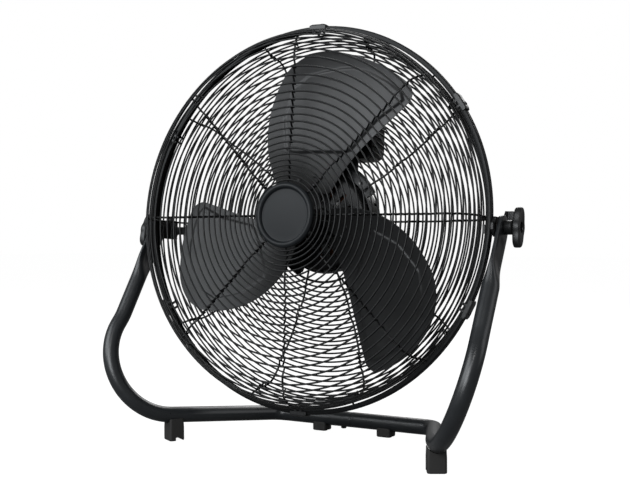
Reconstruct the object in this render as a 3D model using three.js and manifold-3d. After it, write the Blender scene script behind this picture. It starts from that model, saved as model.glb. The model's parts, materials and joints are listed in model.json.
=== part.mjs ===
// High-velocity floor fan: a guarded fan head that tilts between the two uprights
// of a bent-tube floor stand.
//
// Millimetres, +Z up, the air leaves towards -Y, +X is on the right seen from the front.
// The origin lies on the floor, below the middle of the fan's box.
//
// The head has a frame of its own: its y axis is the fan's axis, pointing to the rear,
// and its origin is the centre of the guard rim. The head group turns that frame into
// the tilted rest position.

import * as THREE from 'three';
import { mergeVertices } from 'three/addons/utils/BufferGeometryUtils.js';
import Module from 'manifold-3d';

const wasm = await Module();
wasm.setup();

// ---------------------------------------------------------------- driving dimensions

const clearance = 0.3; // gap between neighbours that touch, turn or are cut to each other

const head = {
  restTilt: 4.4, // degrees, front up
  floorGap: 53.5, // below the rim, were the head level
  depthShift: -20.1, // rim centre along Y, so that the origin lies under the middle of the box
};

const rim = { outerRadius: 275, depth: 14, flange: 8, wall: 1.5, segments: 48 };

const wire = { ring: 1.3, spoke: 1.7, hoop: 2.4, sides: 4 };

const frontGuard = {
  spokes: 8,
  firstSpoke: 90, // degrees, as for the clips
  segments: 24,
  hubRadius: 42,
  spokeInwards: 6, // how far the spokes run past the hub ring
  hubDepth: -57,
  cornerInset: 29, // of the front corner, from the outside of the rim
  cornerDepth: -44,
  rings: 5,
  sideInset: 12,
  sideDepth: -22,
};

const rearGuard = {
  spokes: 10,
  firstSpoke: 72,
  segments: 30,
  hubBeyondMotor: 16, // how far the hub ring stands off the motor's casing
  spokeBeyondMotor: 3,
  hubDepth: 52,
  cornerInset: 25,
  cornerDepth: 36,
  rings: 4,
  sideInset: 12,
  sideDepth: 18,
};

const clip = { angles: [88, 33.5, -26, -90, -151, 152], width: 26, reach: 9, stand: 2.6, screw: 2.2 };

const cap = { radius: 45, discRadius: 39, front: -65.5, rimBead: 3 };
const capPlate = { radius: 34, thickness: 2, screw: 2, screwPlace: 20, screwHead: 1.6 };

const motor = {
  radius: 72,
  front: 40,
  rear: 96,
  wall: 2.5,
  split: 66,
  boss: 17,
  bossStep: 2,
  shoulder: 8, // where the end walls begin to turn into the side
  chamfer: 2.4,
  innerShoulder: 6,
};
const flange = { width: 12, thickness: 3, boltInset: 5, boltRadius: 2.5, bolts: 4 };
const mountPlate = { beyondFlange: 6, thickness: 2, lugWidth: 100, lugHeight: 58, lugOverlap: 8 };
const bearing = { outerRadius: 13, width: 7 };
const shaft = { radius: 6, front: -14, rearSpare: 3 };
const rotor = { radius: 35, length: 22 };
const stator = { airGap: 0.7, coilInset: 15, coilLength: 8 };

const blade = {
  count: 3,
  firstAngle: 90,
  rootRadius: 40,
  tipRadius: 239,
  tipPlace: 0.3, // share of the width, from the trailing edge, where the tip reaches furthest
  trailingDrop: 14, // how far the tip falls back at the trailing corner
  leadingDrop: 26,
  thickness: 1.6,
  frontDepth: -12,
  rearDepth: 30,
  camber: 5,
};

const hub = {
  plate: 2.5,
  armReach: 66,
  armStart: 9,
  armLow: 0.3, // share of the blade's width, from its trailing edge, where the arm begins
  armHigh: 0.7, // and where it ends
  bossRadius: 16,
  bossFront: -4,
  bossRear: 30,
};
const spinner = { radius: 11, length: 9 };

const box = {
  halfWidth: 70,
  aboveMotor: 20,
  height: 68,
  rear: 102,
  wall: 2.5,
  coverThickness: 2,
  corner: 14,
};
const knob = { radius: 17, length: 15, stemRadius: 3.6, stemLength: 14, pointer: 3 };
const rotarySwitch = { side: 26, depth: 18 };
const capacitor = { width: 44, height: 30, depth: 22, offset: 36 };
const gland = { radius: 7, boreRadius: 3.6, length: 18, aboveBase: 20 };

const pivot = { behindRim: 19, belowRim: 12.5 };
const bracket = {
  height: 26,
  plate: 3,
  webBehind: 22, // front of the rear web, behind the tilt axis
  webReach: 12, // how far the web runs inwards
  tongueReach: 29,
  tongueHeight: 12,
  earLow: 9,
  earHigh: 24,
  earBehind: 33,
};
const bolt = { radius: 4, headRadius: 7.2, headLength: 6 };
const washer = { radius: 15, thickness: 0.9 };
const tiltKnob = {
  hubRadius: 9.5,
  hubLength: 12,
  bodyLength: 10.5,
  wingReach: 26.5,
  waist: 12.5,
  recess: 7,
};
const knobTurn = { left: 72, right: 84 }; // degrees of the upper wing, from the rear upwards

const tube = { radius: 12, wall: 1.3, sides: 16, boreSides: 8 };
const flatEnd = { thickness: 6, width: 34, tipRadius: 16, straight: 50, blend: 42, steps: 10 };

// The corners of the tube's centre line, before they are rounded. "splay" is measured
// outwards from the tube's upper end, "behind" from the tilt axis, "height" from the floor.
const uprightKnee = { splay: 0.2, behind: -84.4, height: 184.5, radius: 100 };
const floorCorner = { splay: 10.7, behind: -199.6, height: 51, radius: 90 };
const runBend = { halfWidth: 199.5, behind: -31.3, height: 35.6, radius: 250 };
const rearCorner = { halfWidth: 135, behind: 122, height: 20, radius: 26 };

const sleeve = { halfLength: 32, play: 0.35 };
const seamScrew = { x: -17, headRadius: 4.2, headLength: 2.6, shankRadius: 2.2 };

const foot = { length: 23.5, width: 26, saddle: 4.5 };
const frontFoot = { forward: 7 }; // how far it reaches under the bend
const rearFoot = { x: 55.5, width: 22 };

// ---------------------------------------------------------------- finishes

function finish(colour, roughness, metalness) {
  return new THREE.MeshStandardMaterial({ color: colour, roughness, metalness });
}

const satinBlack = finish(0x1f2122, 0.45, 0.3);
const wireBlack = finish(0x1b1d1e, 0.4, 0.3);
const bladePaint = finish(0x5a5e61, 0.5, 0.4);
const plasticBlack = finish(0x26282a, 0.55, 0);
const rubberBlack = finish(0x2a2a28, 0.85, 0);
const capSlate = finish(0x3a3e42, 0.6, 0);
const motorBlack = finish(0x17181a, 0.35, 0.5);
const plainSteel = finish(0x9a9c9e, 0.4, 0.9);
const copper = finish(0xa5622f, 0.5, 0.9);
const laminate = finish(0x6c6e70, 0.55, 0.8);

// ---------------------------------------------------------------- solids and booleans

function signedVolume(geometry) {
  const index = geometry.index;
  const place = geometry.attributes.position;
  const corners = [new THREE.Vector3(), new THREE.Vector3(), new THREE.Vector3()];
  let volume = 0;
  for (let i = 0; i < index.count; i += 3) {
    corners.forEach((corner, k) => corner.fromBufferAttribute(place, index.getX(i + k)));
    volume += corners[0].dot(corners[1].clone().cross(corners[2])) / 6;
  }
  return volume;
}

// Merges shared vertices and turns the faces outwards.
function closed(geometry) {
  const bare = geometry.clone();
  bare.deleteAttribute('normal');
  bare.deleteAttribute('uv');
  const merged = mergeVertices(bare, 1e-4);
  if (signedVolume(merged) < 0) {
    const index = merged.index;
    for (let i = 0; i < index.count; i += 3) {
      const first = index.getX(i);
      index.setX(i, index.getX(i + 2));
      index.setX(i + 2, first);
    }
  }
  return merged;
}

function solid(geometry) {
  const shape = closed(geometry);
  return new wasm.Manifold(
    new wasm.Mesh({
      numProp: 3,
      vertProperties: new Float32Array(shape.attributes.position.array),
      triVerts: new Uint32Array(shape.index.array),
    }),
  );
}

function geometryOf(manifold) {
  const mesh = manifold.getMesh();
  const geometry = new THREE.BufferGeometry();
  geometry.setAttribute('position', new THREE.BufferAttribute(new Float32Array(mesh.vertProperties), 3));
  geometry.setIndex(new THREE.BufferAttribute(new Uint32Array(mesh.triVerts), 1));
  geometry.computeVertexNormals();
  return geometry;
}

function join(pieces) {
  return pieces.map(solid).reduce((whole, piece) => whole.add(piece));
}

function cut(body, tools) {
  return tools.map(solid).reduce((whole, tool) => whole.subtract(tool), body);
}

function addPart(group, name, geometry, material) {
  const mesh = new THREE.Mesh(geometry, material);
  mesh.name = name;
  group.add(mesh);
  return mesh;
}

// ---------------------------------------------------------------- basic shapes

// A ring or disc about the y axis from a closed or axis-to-axis (radius, depth) profile.
function turned(profile, segments) {
  const points = profile.map(([radius, depth]) => new THREE.Vector2(radius, depth));
  return closed(new THREE.LatheGeometry(points, segments));
}

// A turned ring whose profile closes on itself.
function turnedRing(profile, segments) {
  return turned([...profile, profile[0]], segments);
}

function disc(radius, front, rear, segments) {
  return turned([[0, front], [radius, front], [radius, rear], [0, rear]], segments);
}

function sleeveRing(innerRadius, outerRadius, front, rear, segments) {
  const profile = [[innerRadius, front], [outerRadius, front], [outerRadius, rear], [innerRadius, rear]];
  return turnedRing(profile, segments);
}

function wireRing(radius, depth, wireRadius, segments) {
  const profile = [];
  for (let i = 0; i < wire.sides; i += 1) {
    const angle = (i / wire.sides) * 2 * Math.PI;
    profile.push([radius + wireRadius * Math.cos(angle), depth + wireRadius * Math.sin(angle)]);
  }
  return turnedRing(profile, segments);
}

function block(low, high) {
  const size = new THREE.Vector3().subVectors(high, low);
  const geometry = new THREE.BoxGeometry(size.x, size.y, size.z);
  geometry.translate((low.x + high.x) / 2, (low.y + high.y) / 2, (low.z + high.z) / 2);
  return geometry;
}

function blockAt(x0, x1, y0, y1, z0, z1) {
  return block(new THREE.Vector3(x0, y0, z0), new THREE.Vector3(x1, y1, z1));
}

// A cylinder along the x axis, from x0 to x1, centred on (y, z).
function rodX(radius, x0, x1, y, z, segments) {
  const geometry = new THREE.CylinderGeometry(radius, radius, Math.abs(x1 - x0), segments);
  geometry.rotateZ(Math.PI / 2);
  geometry.translate((x0 + x1) / 2, y, z);
  return geometry;
}

// A cylinder along the y axis, from y0 to y1, centred on (x, z).
function rodY(radius, y0, y1, x, z, segments) {
  const geometry = new THREE.CylinderGeometry(radius, radius, Math.abs(y1 - y0), segments);
  geometry.translate(x, (y0 + y1) / 2, z);
  return geometry;
}

// A curve through given stations, which a swept section follows station by station.
class StationPath extends THREE.Curve {
  constructor(stations) {
    super();
    this.stations = stations;
  }

  getPoint(t, target = new THREE.Vector3()) {
    const place = t * (this.stations.length - 1);
    const index = Math.min(Math.floor(place), this.stations.length - 2);
    return target.lerpVectors(this.stations[index], this.stations[index + 1], place - index);
  }

  getPointAt(u, target) {
    return this.getPoint(u, target);
  }

  getTangentAt(u, target = new THREE.Vector3()) {
    const last = this.stations.length - 1;
    const index = Math.round(u * last);
    const before = this.stations[Math.max(index - 1, 0)];
    const after = this.stations[Math.min(index + 1, last)];
    return target.subVectors(after, before).normalize();
  }
}

function roundSection(radius, sides) {
  const points = [];
  for (let i = 0; i < sides; i += 1) {
    const angle = ((i + 0.5) / sides) * 2 * Math.PI;
    points.push(new THREE.Vector2(radius * Math.cos(angle), radius * Math.sin(angle)));
  }
  return new THREE.Shape(points);
}

function swept(stations, radius, sides) {
  return new THREE.ExtrudeGeometry(roundSection(radius, sides), {
    steps: stations.length - 1,
    extrudePath: new StationPath(stations),
    bevelEnabled: false,
  });
}

// ---------------------------------------------------------------- guard rim and clips

const rimInner = rim.outerRadius - rim.flange;
const hoopRadius = rim.outerRadius - rim.wall - wire.hoop - 1;
const hoopDepth = rim.depth / 2 - rim.wall - clearance - wire.hoop;

function guardRim() {
  const half = rim.depth / 2;
  const inside = half - rim.wall;
  const web = rim.outerRadius - rim.wall;
  const profile = [
    [rim.outerRadius, -half],
    [rim.outerRadius, half],
    [rimInner, half],
    [rimInner, inside],
    [web, inside],
    [web, -inside],
    [rimInner, -inside],
    [rimInner, -half],
  ];
  return turnedRing(profile, rim.segments);
}

// A folded clip that grips the rim's two flanges, with its screw on the outside.
function guardClip() {
  const half = rim.depth / 2 + clearance;
  const outer = rim.outerRadius + clearance;
  const inner = rim.outerRadius - clip.reach + clearance;
  const width = clip.width / 2;
  const stand = clip.stand;
  const body = join([
    blockAt(-width, width, -half - stand, half + stand, outer, outer + stand),
    blockAt(-width, width, -half - stand, -half, inner, outer + 0.5),
    blockAt(-width, width, half, half + stand, inner, outer + 0.5),
    blockAt(-clip.screw, clip.screw, -clip.screw, clip.screw, outer + stand - 0.5, outer + stand + 2),
  ]);
  return body;
}

function placeAround(geometry, degrees) {
  geometry.rotateY(THREE.MathUtils.degToRad(90 - degrees));
  return geometry;
}

// ---------------------------------------------------------------- wire guards

// A guard's hoop lies in the rim's channel, its side runs over a side ring to a corner
// ring, and its face slopes from there to the hub ring, where the spokes begin.
function wireGuard(guard, hoopPlace, hubRadius, spokeStart) {
  const cornerRadius = rim.outerRadius - guard.cornerInset;
  const sideRadius = rim.outerRadius - guard.sideInset;
  const pieces = [
    wireRing(hoopRadius, hoopPlace, wire.hoop, guard.segments),
    wireRing(sideRadius, guard.sideDepth, wire.ring, guard.segments),
    wireRing(hubRadius, guard.hubDepth, wire.spoke, guard.segments),
  ];
  for (let i = 1; i <= guard.rings; i += 1) {
    const share = i / guard.rings;
    const radius = THREE.MathUtils.lerp(hubRadius, cornerRadius, share);
    const depth = THREE.MathUtils.lerp(guard.hubDepth, guard.cornerDepth, share);
    pieces.push(wireRing(radius, depth, wire.ring, guard.segments));
  }
  for (let i = 0; i < guard.spokes; i += 1) {
    const profile = [
      [spokeStart, guard.hubDepth],
      [cornerRadius, guard.cornerDepth],
      [sideRadius, guard.sideDepth],
      [rimInner - 2 * wire.spoke, hoopPlace],
      [hoopRadius, hoopPlace],
    ];
    const stations = profile.map(([radius, depth]) => new THREE.Vector3(0, depth, radius));
    const spoke = swept(stations, wire.spoke, wire.sides);
    pieces.push(placeAround(spoke, guard.firstSpoke + (i * 360) / guard.spokes));
  }
  return geometryOf(join(pieces));
}

// ---------------------------------------------------------------- front cap

const capRear = frontGuard.hubDepth - wire.spoke - clearance;

function frontCap() {
  const discFront = cap.front + cap.rimBead;
  const profile = [
    [0, discFront],
    [cap.discRadius, discFront],
    [cap.discRadius + 1, cap.front + 0.8],
    [cap.discRadius + 3, cap.front],
    [cap.radius - 1, cap.front + 1.6],
    [cap.radius, cap.front + 4],
    [cap.radius, capRear],
    [0, capRear],
  ];
  return turned(profile, 36);
}

// The plate that holds the cap from inside the guard's hub ring.
function capClampPlate() {
  const front = capRear + clearance;
  const rear = front + capPlate.thickness;
  const body = solid(disc(capPlate.radius, front, rear, 32));
  const screws = [-capPlate.screwPlace, capPlate.screwPlace].map((x) =>
    rodY(capPlate.screw, rear - 0.5, rear + capPlate.screwHead, x, 0, 10),
  );
  return geometryOf(screws.map(solid).reduce((whole, screw) => whole.add(screw), body));
}

// ---------------------------------------------------------------- motor

const plateFront = rearGuard.hubDepth + wire.spoke + clearance;
const plateRear = plateFront + mountPlate.thickness;
const flangeFront = plateRear + clearance;
const flangeRadius = motor.radius + flange.width;
const plateRadius = flangeRadius + mountPlate.beyondFlange;
const rearHubRadius = motor.radius + rearGuard.hubBeyondMotor;
const boxBottom = motor.radius + box.aboveMotor;
const boxTop = boxBottom + box.height;
const boreRadius = shaft.radius + clearance;

function motorMountPlate() {
  const ring = sleeveRing(motor.radius + 1, plateRadius, plateFront, plateRear, 28);
  const half = mountPlate.lugWidth / 2;
  const lugTop = boxBottom + mountPlate.lugHeight;
  const lug = blockAt(-half, half, plateFront, plateRear, motor.radius + mountPlate.lugOverlap, lugTop);
  return geometryOf(cut(join([ring, lug]), flangeBoltHoles(plateFront - 1, plateRear + 1)));
}

function flangeBoltPlaces() {
  const boltCircle = flangeRadius - flange.boltInset;
  const places = [];
  for (let i = 0; i < flange.bolts; i += 1) {
    const angle = ((i + 0.5) / flange.bolts) * 2 * Math.PI;
    places.push([boltCircle * Math.cos(angle), boltCircle * Math.sin(angle)]);
  }
  return places;
}

function flangeBoltHoles(front, rear) {
  return flangeBoltPlaces().map(([x, z]) => rodY(flange.boltRadius, front, rear, x, z, 12));
}

function motorScrew([x, z]) {
  const rear = flangeFront + flange.thickness + clearance;
  return geometryOf(
    join([
      rodY(flange.boltRadius - clearance, plateFront - 1, rear + 1, x, z, 10),
      rodY(flange.boltRadius + 1.6, rear, rear + 2.4, x, z, 10),
    ]),
  );
}

// One half of the motor's casing: a cup with a bearing seat in its end wall.
function motorShell(end, lip, outward) {
  const wallInside = end - outward * motor.wall;
  const seatInside = wallInside - outward * bearing.width;
  const seat = bearing.outerRadius + clearance;
  const profile = [
    [boreRadius + 1, end + outward * motor.bossStep],
    [motor.boss, end + outward * motor.bossStep],
    [motor.boss + motor.bossStep, end],
    [motor.radius - motor.shoulder, end],
    [motor.radius - motor.chamfer, end - outward * motor.chamfer],
    [motor.radius, end - outward * motor.shoulder],
    [motor.radius, lip],
    [motor.radius - motor.wall, lip],
    [motor.radius - motor.wall, wallInside - outward * motor.innerShoulder],
    [motor.radius - motor.wall - motor.innerShoulder, wallInside],
    [seat + 3, wallInside],
    [seat + 3, seatInside],
    [seat, seatInside],
    [seat, wallInside],
    [boreRadius + 1, wallInside],
  ];
  return turnedRing(profile, 28);
}

function motorFrontShell() {
  const flangeRear = flangeFront + flange.thickness;
  const ring = sleeveRing(motor.radius - 1, flangeRadius, flangeFront, flangeRear, 28);
  const body = join([motorShell(motor.front, motor.split, -1), ring]);
  return geometryOf(cut(body, flangeBoltHoles(flangeFront - 1, flangeRear + 1)));
}

function motorRearShell() {
  return motorShell(motor.rear, motor.split + clearance, 1);
}

function ballBearing(end, outward) {
  const near = end - outward * (motor.wall + clearance);
  const far = near - outward * (bearing.width - clearance);
  return sleeveRing(boreRadius, bearing.outerRadius, Math.min(near, far), Math.max(near, far), 24);
}

const statorMiddle = (motor.front + motor.rear) / 2;
const statorHalf = rotor.length / 2;
const statorInner = rotor.radius + stator.airGap;

function statorCore() {
  const outer = motor.radius - motor.wall - clearance;
  return sleeveRing(statorInner, outer, statorMiddle - statorHalf, statorMiddle + statorHalf, 28);
}

function statorCoil(outward) {
  const near = statorMiddle + outward * (statorHalf + clearance);
  const far = near + outward * stator.coilLength;
  const inner = statorInner + 2;
  const outer = motor.radius - stator.coilInset;
  return sleeveRing(inner, outer, Math.min(near, far), Math.max(near, far), 28);
}

// Rotor and shaft are one pressed unit, with a flat at the front for the hub's set screw.
function rotorAndShaft() {
  const rear = motor.rear + shaft.rearSpare;
  return geometryOf(
    join([
      disc(shaft.radius, shaft.front, rear, 20),
      disc(rotor.radius, statorMiddle - statorHalf, statorMiddle + statorHalf, 32),
    ]),
  );
}

// ---------------------------------------------------------------- fan wheel

// Leading and trailing edge angles of a blade, seen from the front, at a radius.
function bladeEdges(radius) {
  const span = blade.tipRadius - blade.rootRadius;
  const share = THREE.MathUtils.clamp((radius - blade.rootRadius) / span, 0, 1);
  const trailing = THREE.MathUtils.lerp(44, 1, share ** 1.2);
  const leading = THREE.MathUtils.lerp(-24, -40, Math.sin((share * Math.PI) / 2));
  return { trailing, leading };
}

// How far the blade reaches at a share of its width.
function bladeReach(across) {
  const beyond = across - blade.tipPlace;
  if (beyond < 0) {
    return blade.tipRadius - blade.trailingDrop * (beyond / blade.tipPlace) ** 2;
  }
  return blade.tipRadius - blade.leadingDrop * (beyond / (1 - blade.tipPlace)) ** 2;
}

// A point of the blade's middle surface at a radius: "across" goes from the trailing
// edge at the front (0) to the leading edge at the rear (1).
function bladeSurface(across, radius) {
  const { trailing, leading } = bladeEdges(radius);
  const angle = THREE.MathUtils.degToRad(THREE.MathUtils.lerp(trailing, leading, across));
  const depth = THREE.MathUtils.lerp(blade.frontDepth, blade.rearDepth, across);
  const camber = blade.camber * Math.sin(across * Math.PI);
  return new THREE.Vector3(-radius * Math.sin(angle), depth + camber, radius * Math.cos(angle));
}

// A curved plate of one thickness along y, over a grid of points from "surface", whose
// two arguments both go from 0 to 1.
function curvedPlate(surface, columns, rows, thickness) {
  const positions = [];
  const index = [];
  for (const face of [-0.5, 0.5]) {
    for (let j = 0; j <= rows; j += 1) {
      for (let i = 0; i <= columns; i += 1) {
        const point = surface(i / columns, j / rows);
        positions.push(point.x, point.y + face * thickness, point.z);
      }
    }
  }
  const sheet = (rows + 1) * (columns + 1);
  const at = (i, j, face) => face * sheet + j * (columns + 1) + i;
  const quad = (a, b, c, d) => index.push(a, b, c, a, c, d);
  for (let j = 0; j < rows; j += 1) {
    for (let i = 0; i < columns; i += 1) {
      quad(at(i, j, 0), at(i, j + 1, 0), at(i + 1, j + 1, 0), at(i + 1, j, 0));
      quad(at(i, j, 1), at(i + 1, j, 1), at(i + 1, j + 1, 1), at(i, j + 1, 1));
    }
    quad(at(0, j, 0), at(0, j, 1), at(0, j + 1, 1), at(0, j + 1, 0));
    quad(at(columns, j, 0), at(columns, j + 1, 0), at(columns, j + 1, 1), at(columns, j, 1));
  }
  for (let i = 0; i < columns; i += 1) {
    quad(at(i, 0, 0), at(i + 1, 0, 0), at(i + 1, 0, 1), at(i, 0, 1));
    quad(at(i, rows, 0), at(i, rows, 1), at(i + 1, rows, 1), at(i + 1, rows, 0));
  }
  const geometry = new THREE.BufferGeometry();
  geometry.setAttribute('position', new THREE.Float32BufferAttribute(positions, 3));
  geometry.setIndex(index);
  return closed(geometry);
}

function bladePlate() {
  const surface = (across, along) =>
    bladeSurface(across, THREE.MathUtils.lerp(blade.rootRadius, bladeReach(across), along));
  return curvedPlate(surface, 9, 6, blade.thickness);
}

function placeBlade(geometry, number) {
  return placeAround(geometry, blade.firstAngle - (number * 360) / blade.count);
}

// An arm lies behind the root of its blade and follows the blade's twist. The gap between
// them is measured along y, and the surface is steep there, so it is wider than a clearance.
function hubArm() {
  const behind = (blade.thickness + hub.plate) / 2 + 3 * clearance;
  const surface = (u, v) => {
    const across = THREE.MathUtils.lerp(hub.armLow, hub.armHigh, u);
    const radius = THREE.MathUtils.lerp(hub.armStart, hub.armReach, v);
    return bladeSurface(across, radius).add(new THREE.Vector3(0, behind, 0));
  };
  return curvedPlate(surface, 4, 4, hub.plate);
}

// The hub: a boss on the shaft and a twisted arm under the root of each blade.
function fanHub() {
  const arms = [];
  for (let number = 0; number < blade.count; number += 1) {
    arms.push(placeBlade(hubArm(), number));
  }
  const boss = disc(hub.bossRadius, hub.bossFront, hub.bossRear, 24);
  const bore = disc(shaft.radius + clearance, hub.bossFront - 1, hub.bossRear + 1, 20);
  return geometryOf(cut(join([boss, ...arms]), [bore]));
}

function spinnerNut() {
  const front = shaft.front - 1;
  const rear = hub.bossFront - clearance;
  const body = solid(disc(spinner.radius, front - spinner.length + 6, rear, 6));
  return geometryOf(cut(body, [disc(shaft.radius + clearance, shaft.front - clearance, rear + 1, 20)]));
}

// ---------------------------------------------------------------- control box

const coverFront = plateRear + clearance;
const coverRear = coverFront + box.coverThickness;
const shellFront = coverRear + clearance;
const boxMiddle = (boxBottom + boxTop) / 2;

function boxOutline(inset) {
  const half = box.halfWidth - inset;
  const bottom = boxBottom + inset;
  const top = boxTop - inset;
  const corner = box.corner - inset;
  const shape = new THREE.Shape();
  shape.moveTo(-half + corner, bottom);
  shape.lineTo(half - corner, bottom);
  shape.absarc(half - corner, bottom + corner, corner, -Math.PI / 2, 0);
  shape.lineTo(half, top - corner);
  shape.absarc(half - corner, top - corner, corner, 0, Math.PI / 2);
  shape.lineTo(-half + corner, top);
  shape.absarc(-half + corner, top - corner, corner, Math.PI / 2, Math.PI);
  shape.lineTo(-half, bottom + corner);
  shape.absarc(-half + corner, bottom + corner, corner, Math.PI, 1.5 * Math.PI);
  return shape;
}

// A slab of the box's outline from one depth to another.
function boxSlab(inset, front, rear) {
  const geometry = new THREE.ExtrudeGeometry(boxOutline(inset), {
    depth: rear - front,
    bevelEnabled: false,
    curveSegments: 5,
  });
  geometry.rotateX(Math.PI / 2);
  geometry.translate(0, rear, 0);
  return closed(geometry);
}

function controlBoxShell() {
  const body = solid(boxSlab(0, shellFront, box.rear));
  const hollow = boxSlab(box.wall, shellFront - 1, box.rear - box.wall);
  const stemRoom = knob.stemRadius + clearance;
  const stemHole = rodY(stemRoom, box.rear - box.wall - 1, box.rear + 1, 0, boxMiddle, 16);
  return geometryOf(cut(body, [hollow, stemHole]));
}

function controlBoxCover() {
  return boxSlab(0, coverFront, coverRear);
}

function speedKnob() {
  const front = box.rear + clearance;
  const rear = front + knob.length;
  const grip = turned(
    [[0, front], [knob.radius, front], [knob.radius - 2, rear - 2], [knob.radius - 4, rear], [0, rear]],
    28,
  );
  const pointer = blockAt(-knob.pointer / 2, knob.pointer / 2, rear - 3, rear + 2, 0, knob.radius - 4);
  const stem = disc(knob.stemRadius, front - knob.stemLength, front + 1, 16);
  const geometry = geometryOf(join([grip, pointer, stem]));
  geometry.translate(0, 0, boxMiddle);
  return geometry;
}

const switchRear = box.rear - box.wall - clearance;

function rotarySwitchBody() {
  const half = rotarySwitch.side / 2;
  const front = switchRear - rotarySwitch.depth;
  const body = solid(blockAt(-half, half, front, switchRear, boxMiddle - half, boxMiddle + half));
  const socketFront = box.rear - knob.stemLength;
  const socket = rodY(knob.stemRadius + clearance, socketFront, switchRear + 1, 0, boxMiddle, 16);
  return geometryOf(cut(body, [socket]));
}

function runCapacitor() {
  const half = capacitor.width / 2;
  const rear = box.rear - box.wall - clearance;
  const low = boxMiddle - capacitor.height / 2;
  const x = capacitor.offset;
  return blockAt(x - half, x + half, rear - capacitor.depth, rear, low, low + capacitor.height);
}

// The cord's inlet: a hollow gland on the side wall of the box.
function cordGland() {
  const near = -box.halfWidth - clearance;
  const y = (shellFront + box.rear) / 2;
  const z = boxBottom + gland.aboveBase;
  const flangeRing = rodX(gland.radius + 2.5, near - 3, near, y, z, 20);
  const barrel = rodX(gland.radius, near - gland.length, near - 2, y, z, 20);
  const bore = rodX(gland.boreRadius, near - gland.length - 1, near + 1, y, z, 16);
  return geometryOf(cut(join([flangeRing, barrel]), [bore]));
}

// ---------------------------------------------------------------- tilt pivots

// Pieces of the right-hand pivot, in the head's frame, along +X.
const bracketOuter = rim.outerRadius + clearance + bracket.plate;
const washerOuter = bracketOuter + clearance + washer.thickness;
const endMiddle = washerOuter + clearance + flatEnd.thickness / 2;
const knobInner = endMiddle + flatEnd.thickness / 2 + clearance;
const knobOuter = knobInner + tiltKnob.hubLength + tiltKnob.bodyLength;

function mirrored(geometry, side) {
  if (side > 0) {
    return geometry;
  }
  const copy = geometry.clone();
  copy.scale(-1, 1, 1);
  return closed(copy);
}

// A plate beside the rim with a web behind the guard, a tongue on the web and a stop ear
// that meets the upright when the head is tilted too far.
function pivotBracket() {
  const y = pivot.behindRim;
  const z = -pivot.belowRim;
  const half = bracket.height / 2;
  const tongueHalf = bracket.tongueHeight / 2;
  const innerFace = bracketOuter - bracket.plate;
  const webEnd = innerFace - bracket.webReach;
  const tongueEnd = innerFace - bracket.tongueReach;
  const webFront = y + bracket.webBehind;
  const webRear = webFront + bracket.plate;
  const earRear = y + bracket.earBehind;
  const earFront = earRear - bracket.plate;
  const earOuter = endMiddle + flatEnd.thickness / 2;
  const body = join([
    blockAt(innerFace, bracketOuter, -rim.depth / 2, webRear, z - half, z + half),
    blockAt(webEnd, bracketOuter, webFront, webRear, z - half, z + half),
    blockAt(tongueEnd, bracketOuter, webFront, webRear, z - tongueHalf, z + tongueHalf),
    blockAt(innerFace, bracketOuter, y, earRear, z + bracket.earLow, z + half),
    blockAt(innerFace, earOuter, earFront, earRear, z + bracket.earLow, z + bracket.earHigh),
  ]);
  const hole = rodX(bolt.radius + clearance, innerFace - 1, bracketOuter + 1, y, z, 16);
  return geometryOf(cut(body, [hole]));
}

function tiltBolt() {
  const innerFace = bracketOuter - bracket.plate - clearance;
  const y = pivot.behindRim;
  const z = -pivot.belowRim;
  const tip = knobInner + tiltKnob.hubLength - 2;
  return geometryOf(
    join([
      rodX(bolt.headRadius, innerFace - bolt.headLength, innerFace, y, z, 6),
      rodX(bolt.radius, innerFace - 1, tip, y, z, 16),
    ]),
  );
}

function frictionWasher() {
  const y = pivot.behindRim;
  const z = -pivot.belowRim;
  const body = solid(rodX(washer.radius, bracketOuter + clearance, washerOuter, y, z, 28));
  const hole = rodX(bolt.radius + clearance, bracketOuter - 1, washerOuter + 1, y, z, 16);
  return geometryOf(cut(body, [hole]));
}

// Distance of the knob's edge from its axis at an angle: two wings and a round middle.
function wingRadius(angle) {
  const swell = ((1 + Math.cos(2 * angle)) / 2) ** 3;
  return THREE.MathUtils.lerp(tiltKnob.waist, tiltKnob.wingReach, swell);
}

function tiltKnobBody(turn) {
  const shape = new THREE.Shape();
  const steps = 36;
  for (let i = 0; i < steps; i += 1) {
    const angle = (i / steps) * 2 * Math.PI;
    const radius = wingRadius(angle);
    const u = radius * Math.cos(angle + turn);
    const v = radius * Math.sin(angle + turn);
    if (i === 0) {
      shape.moveTo(u, v);
    } else {
      shape.lineTo(u, v);
    }
  }
  shape.closePath();
  const wings = new THREE.ExtrudeGeometry(shape, { depth: tiltKnob.bodyLength, bevelEnabled: false });
  // the outline's (u, v) plane becomes the (y, z) plane, and its depth the x axis
  const turnFrame = new THREE.Matrix4().makeBasis(
    new THREE.Vector3(0, 1, 0),
    new THREE.Vector3(0, 0, 1),
    new THREE.Vector3(1, 0, 0),
  );
  wings.applyMatrix4(turnFrame);
  wings.translate(knobInner + tiltKnob.hubLength, pivot.behindRim, -pivot.belowRim);
  const y = pivot.behindRim;
  const z = -pivot.belowRim;
  const neck = rodX(tiltKnob.hubRadius, knobInner, knobInner + tiltKnob.hubLength + 1, y, z, 20);
  const thread = rodX(bolt.radius + clearance, knobInner - 1, knobInner + tiltKnob.hubLength - 1, y, z, 16);
  const recess = rodX(tiltKnob.recess, knobOuter - 7, knobOuter + 1, y, z, 20);
  return geometryOf(cut(join([wings, neck]), [thread, recess]));
}

// ---------------------------------------------------------------- stand tubes

// The tilt axis in the stand's frame, from the head's tilted frame.
const tiltRadians = THREE.MathUtils.degToRad(head.restTilt);
const rimCentreHeight = rim.outerRadius + head.floorGap;
const axisPlace = new THREE.Vector3(0, pivot.behindRim, -pivot.belowRim)
  .applyAxisAngle(new THREE.Vector3(1, 0, 0), -tiltRadians)
  .add(new THREE.Vector3(0, head.depthShift, rimCentreHeight));

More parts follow.
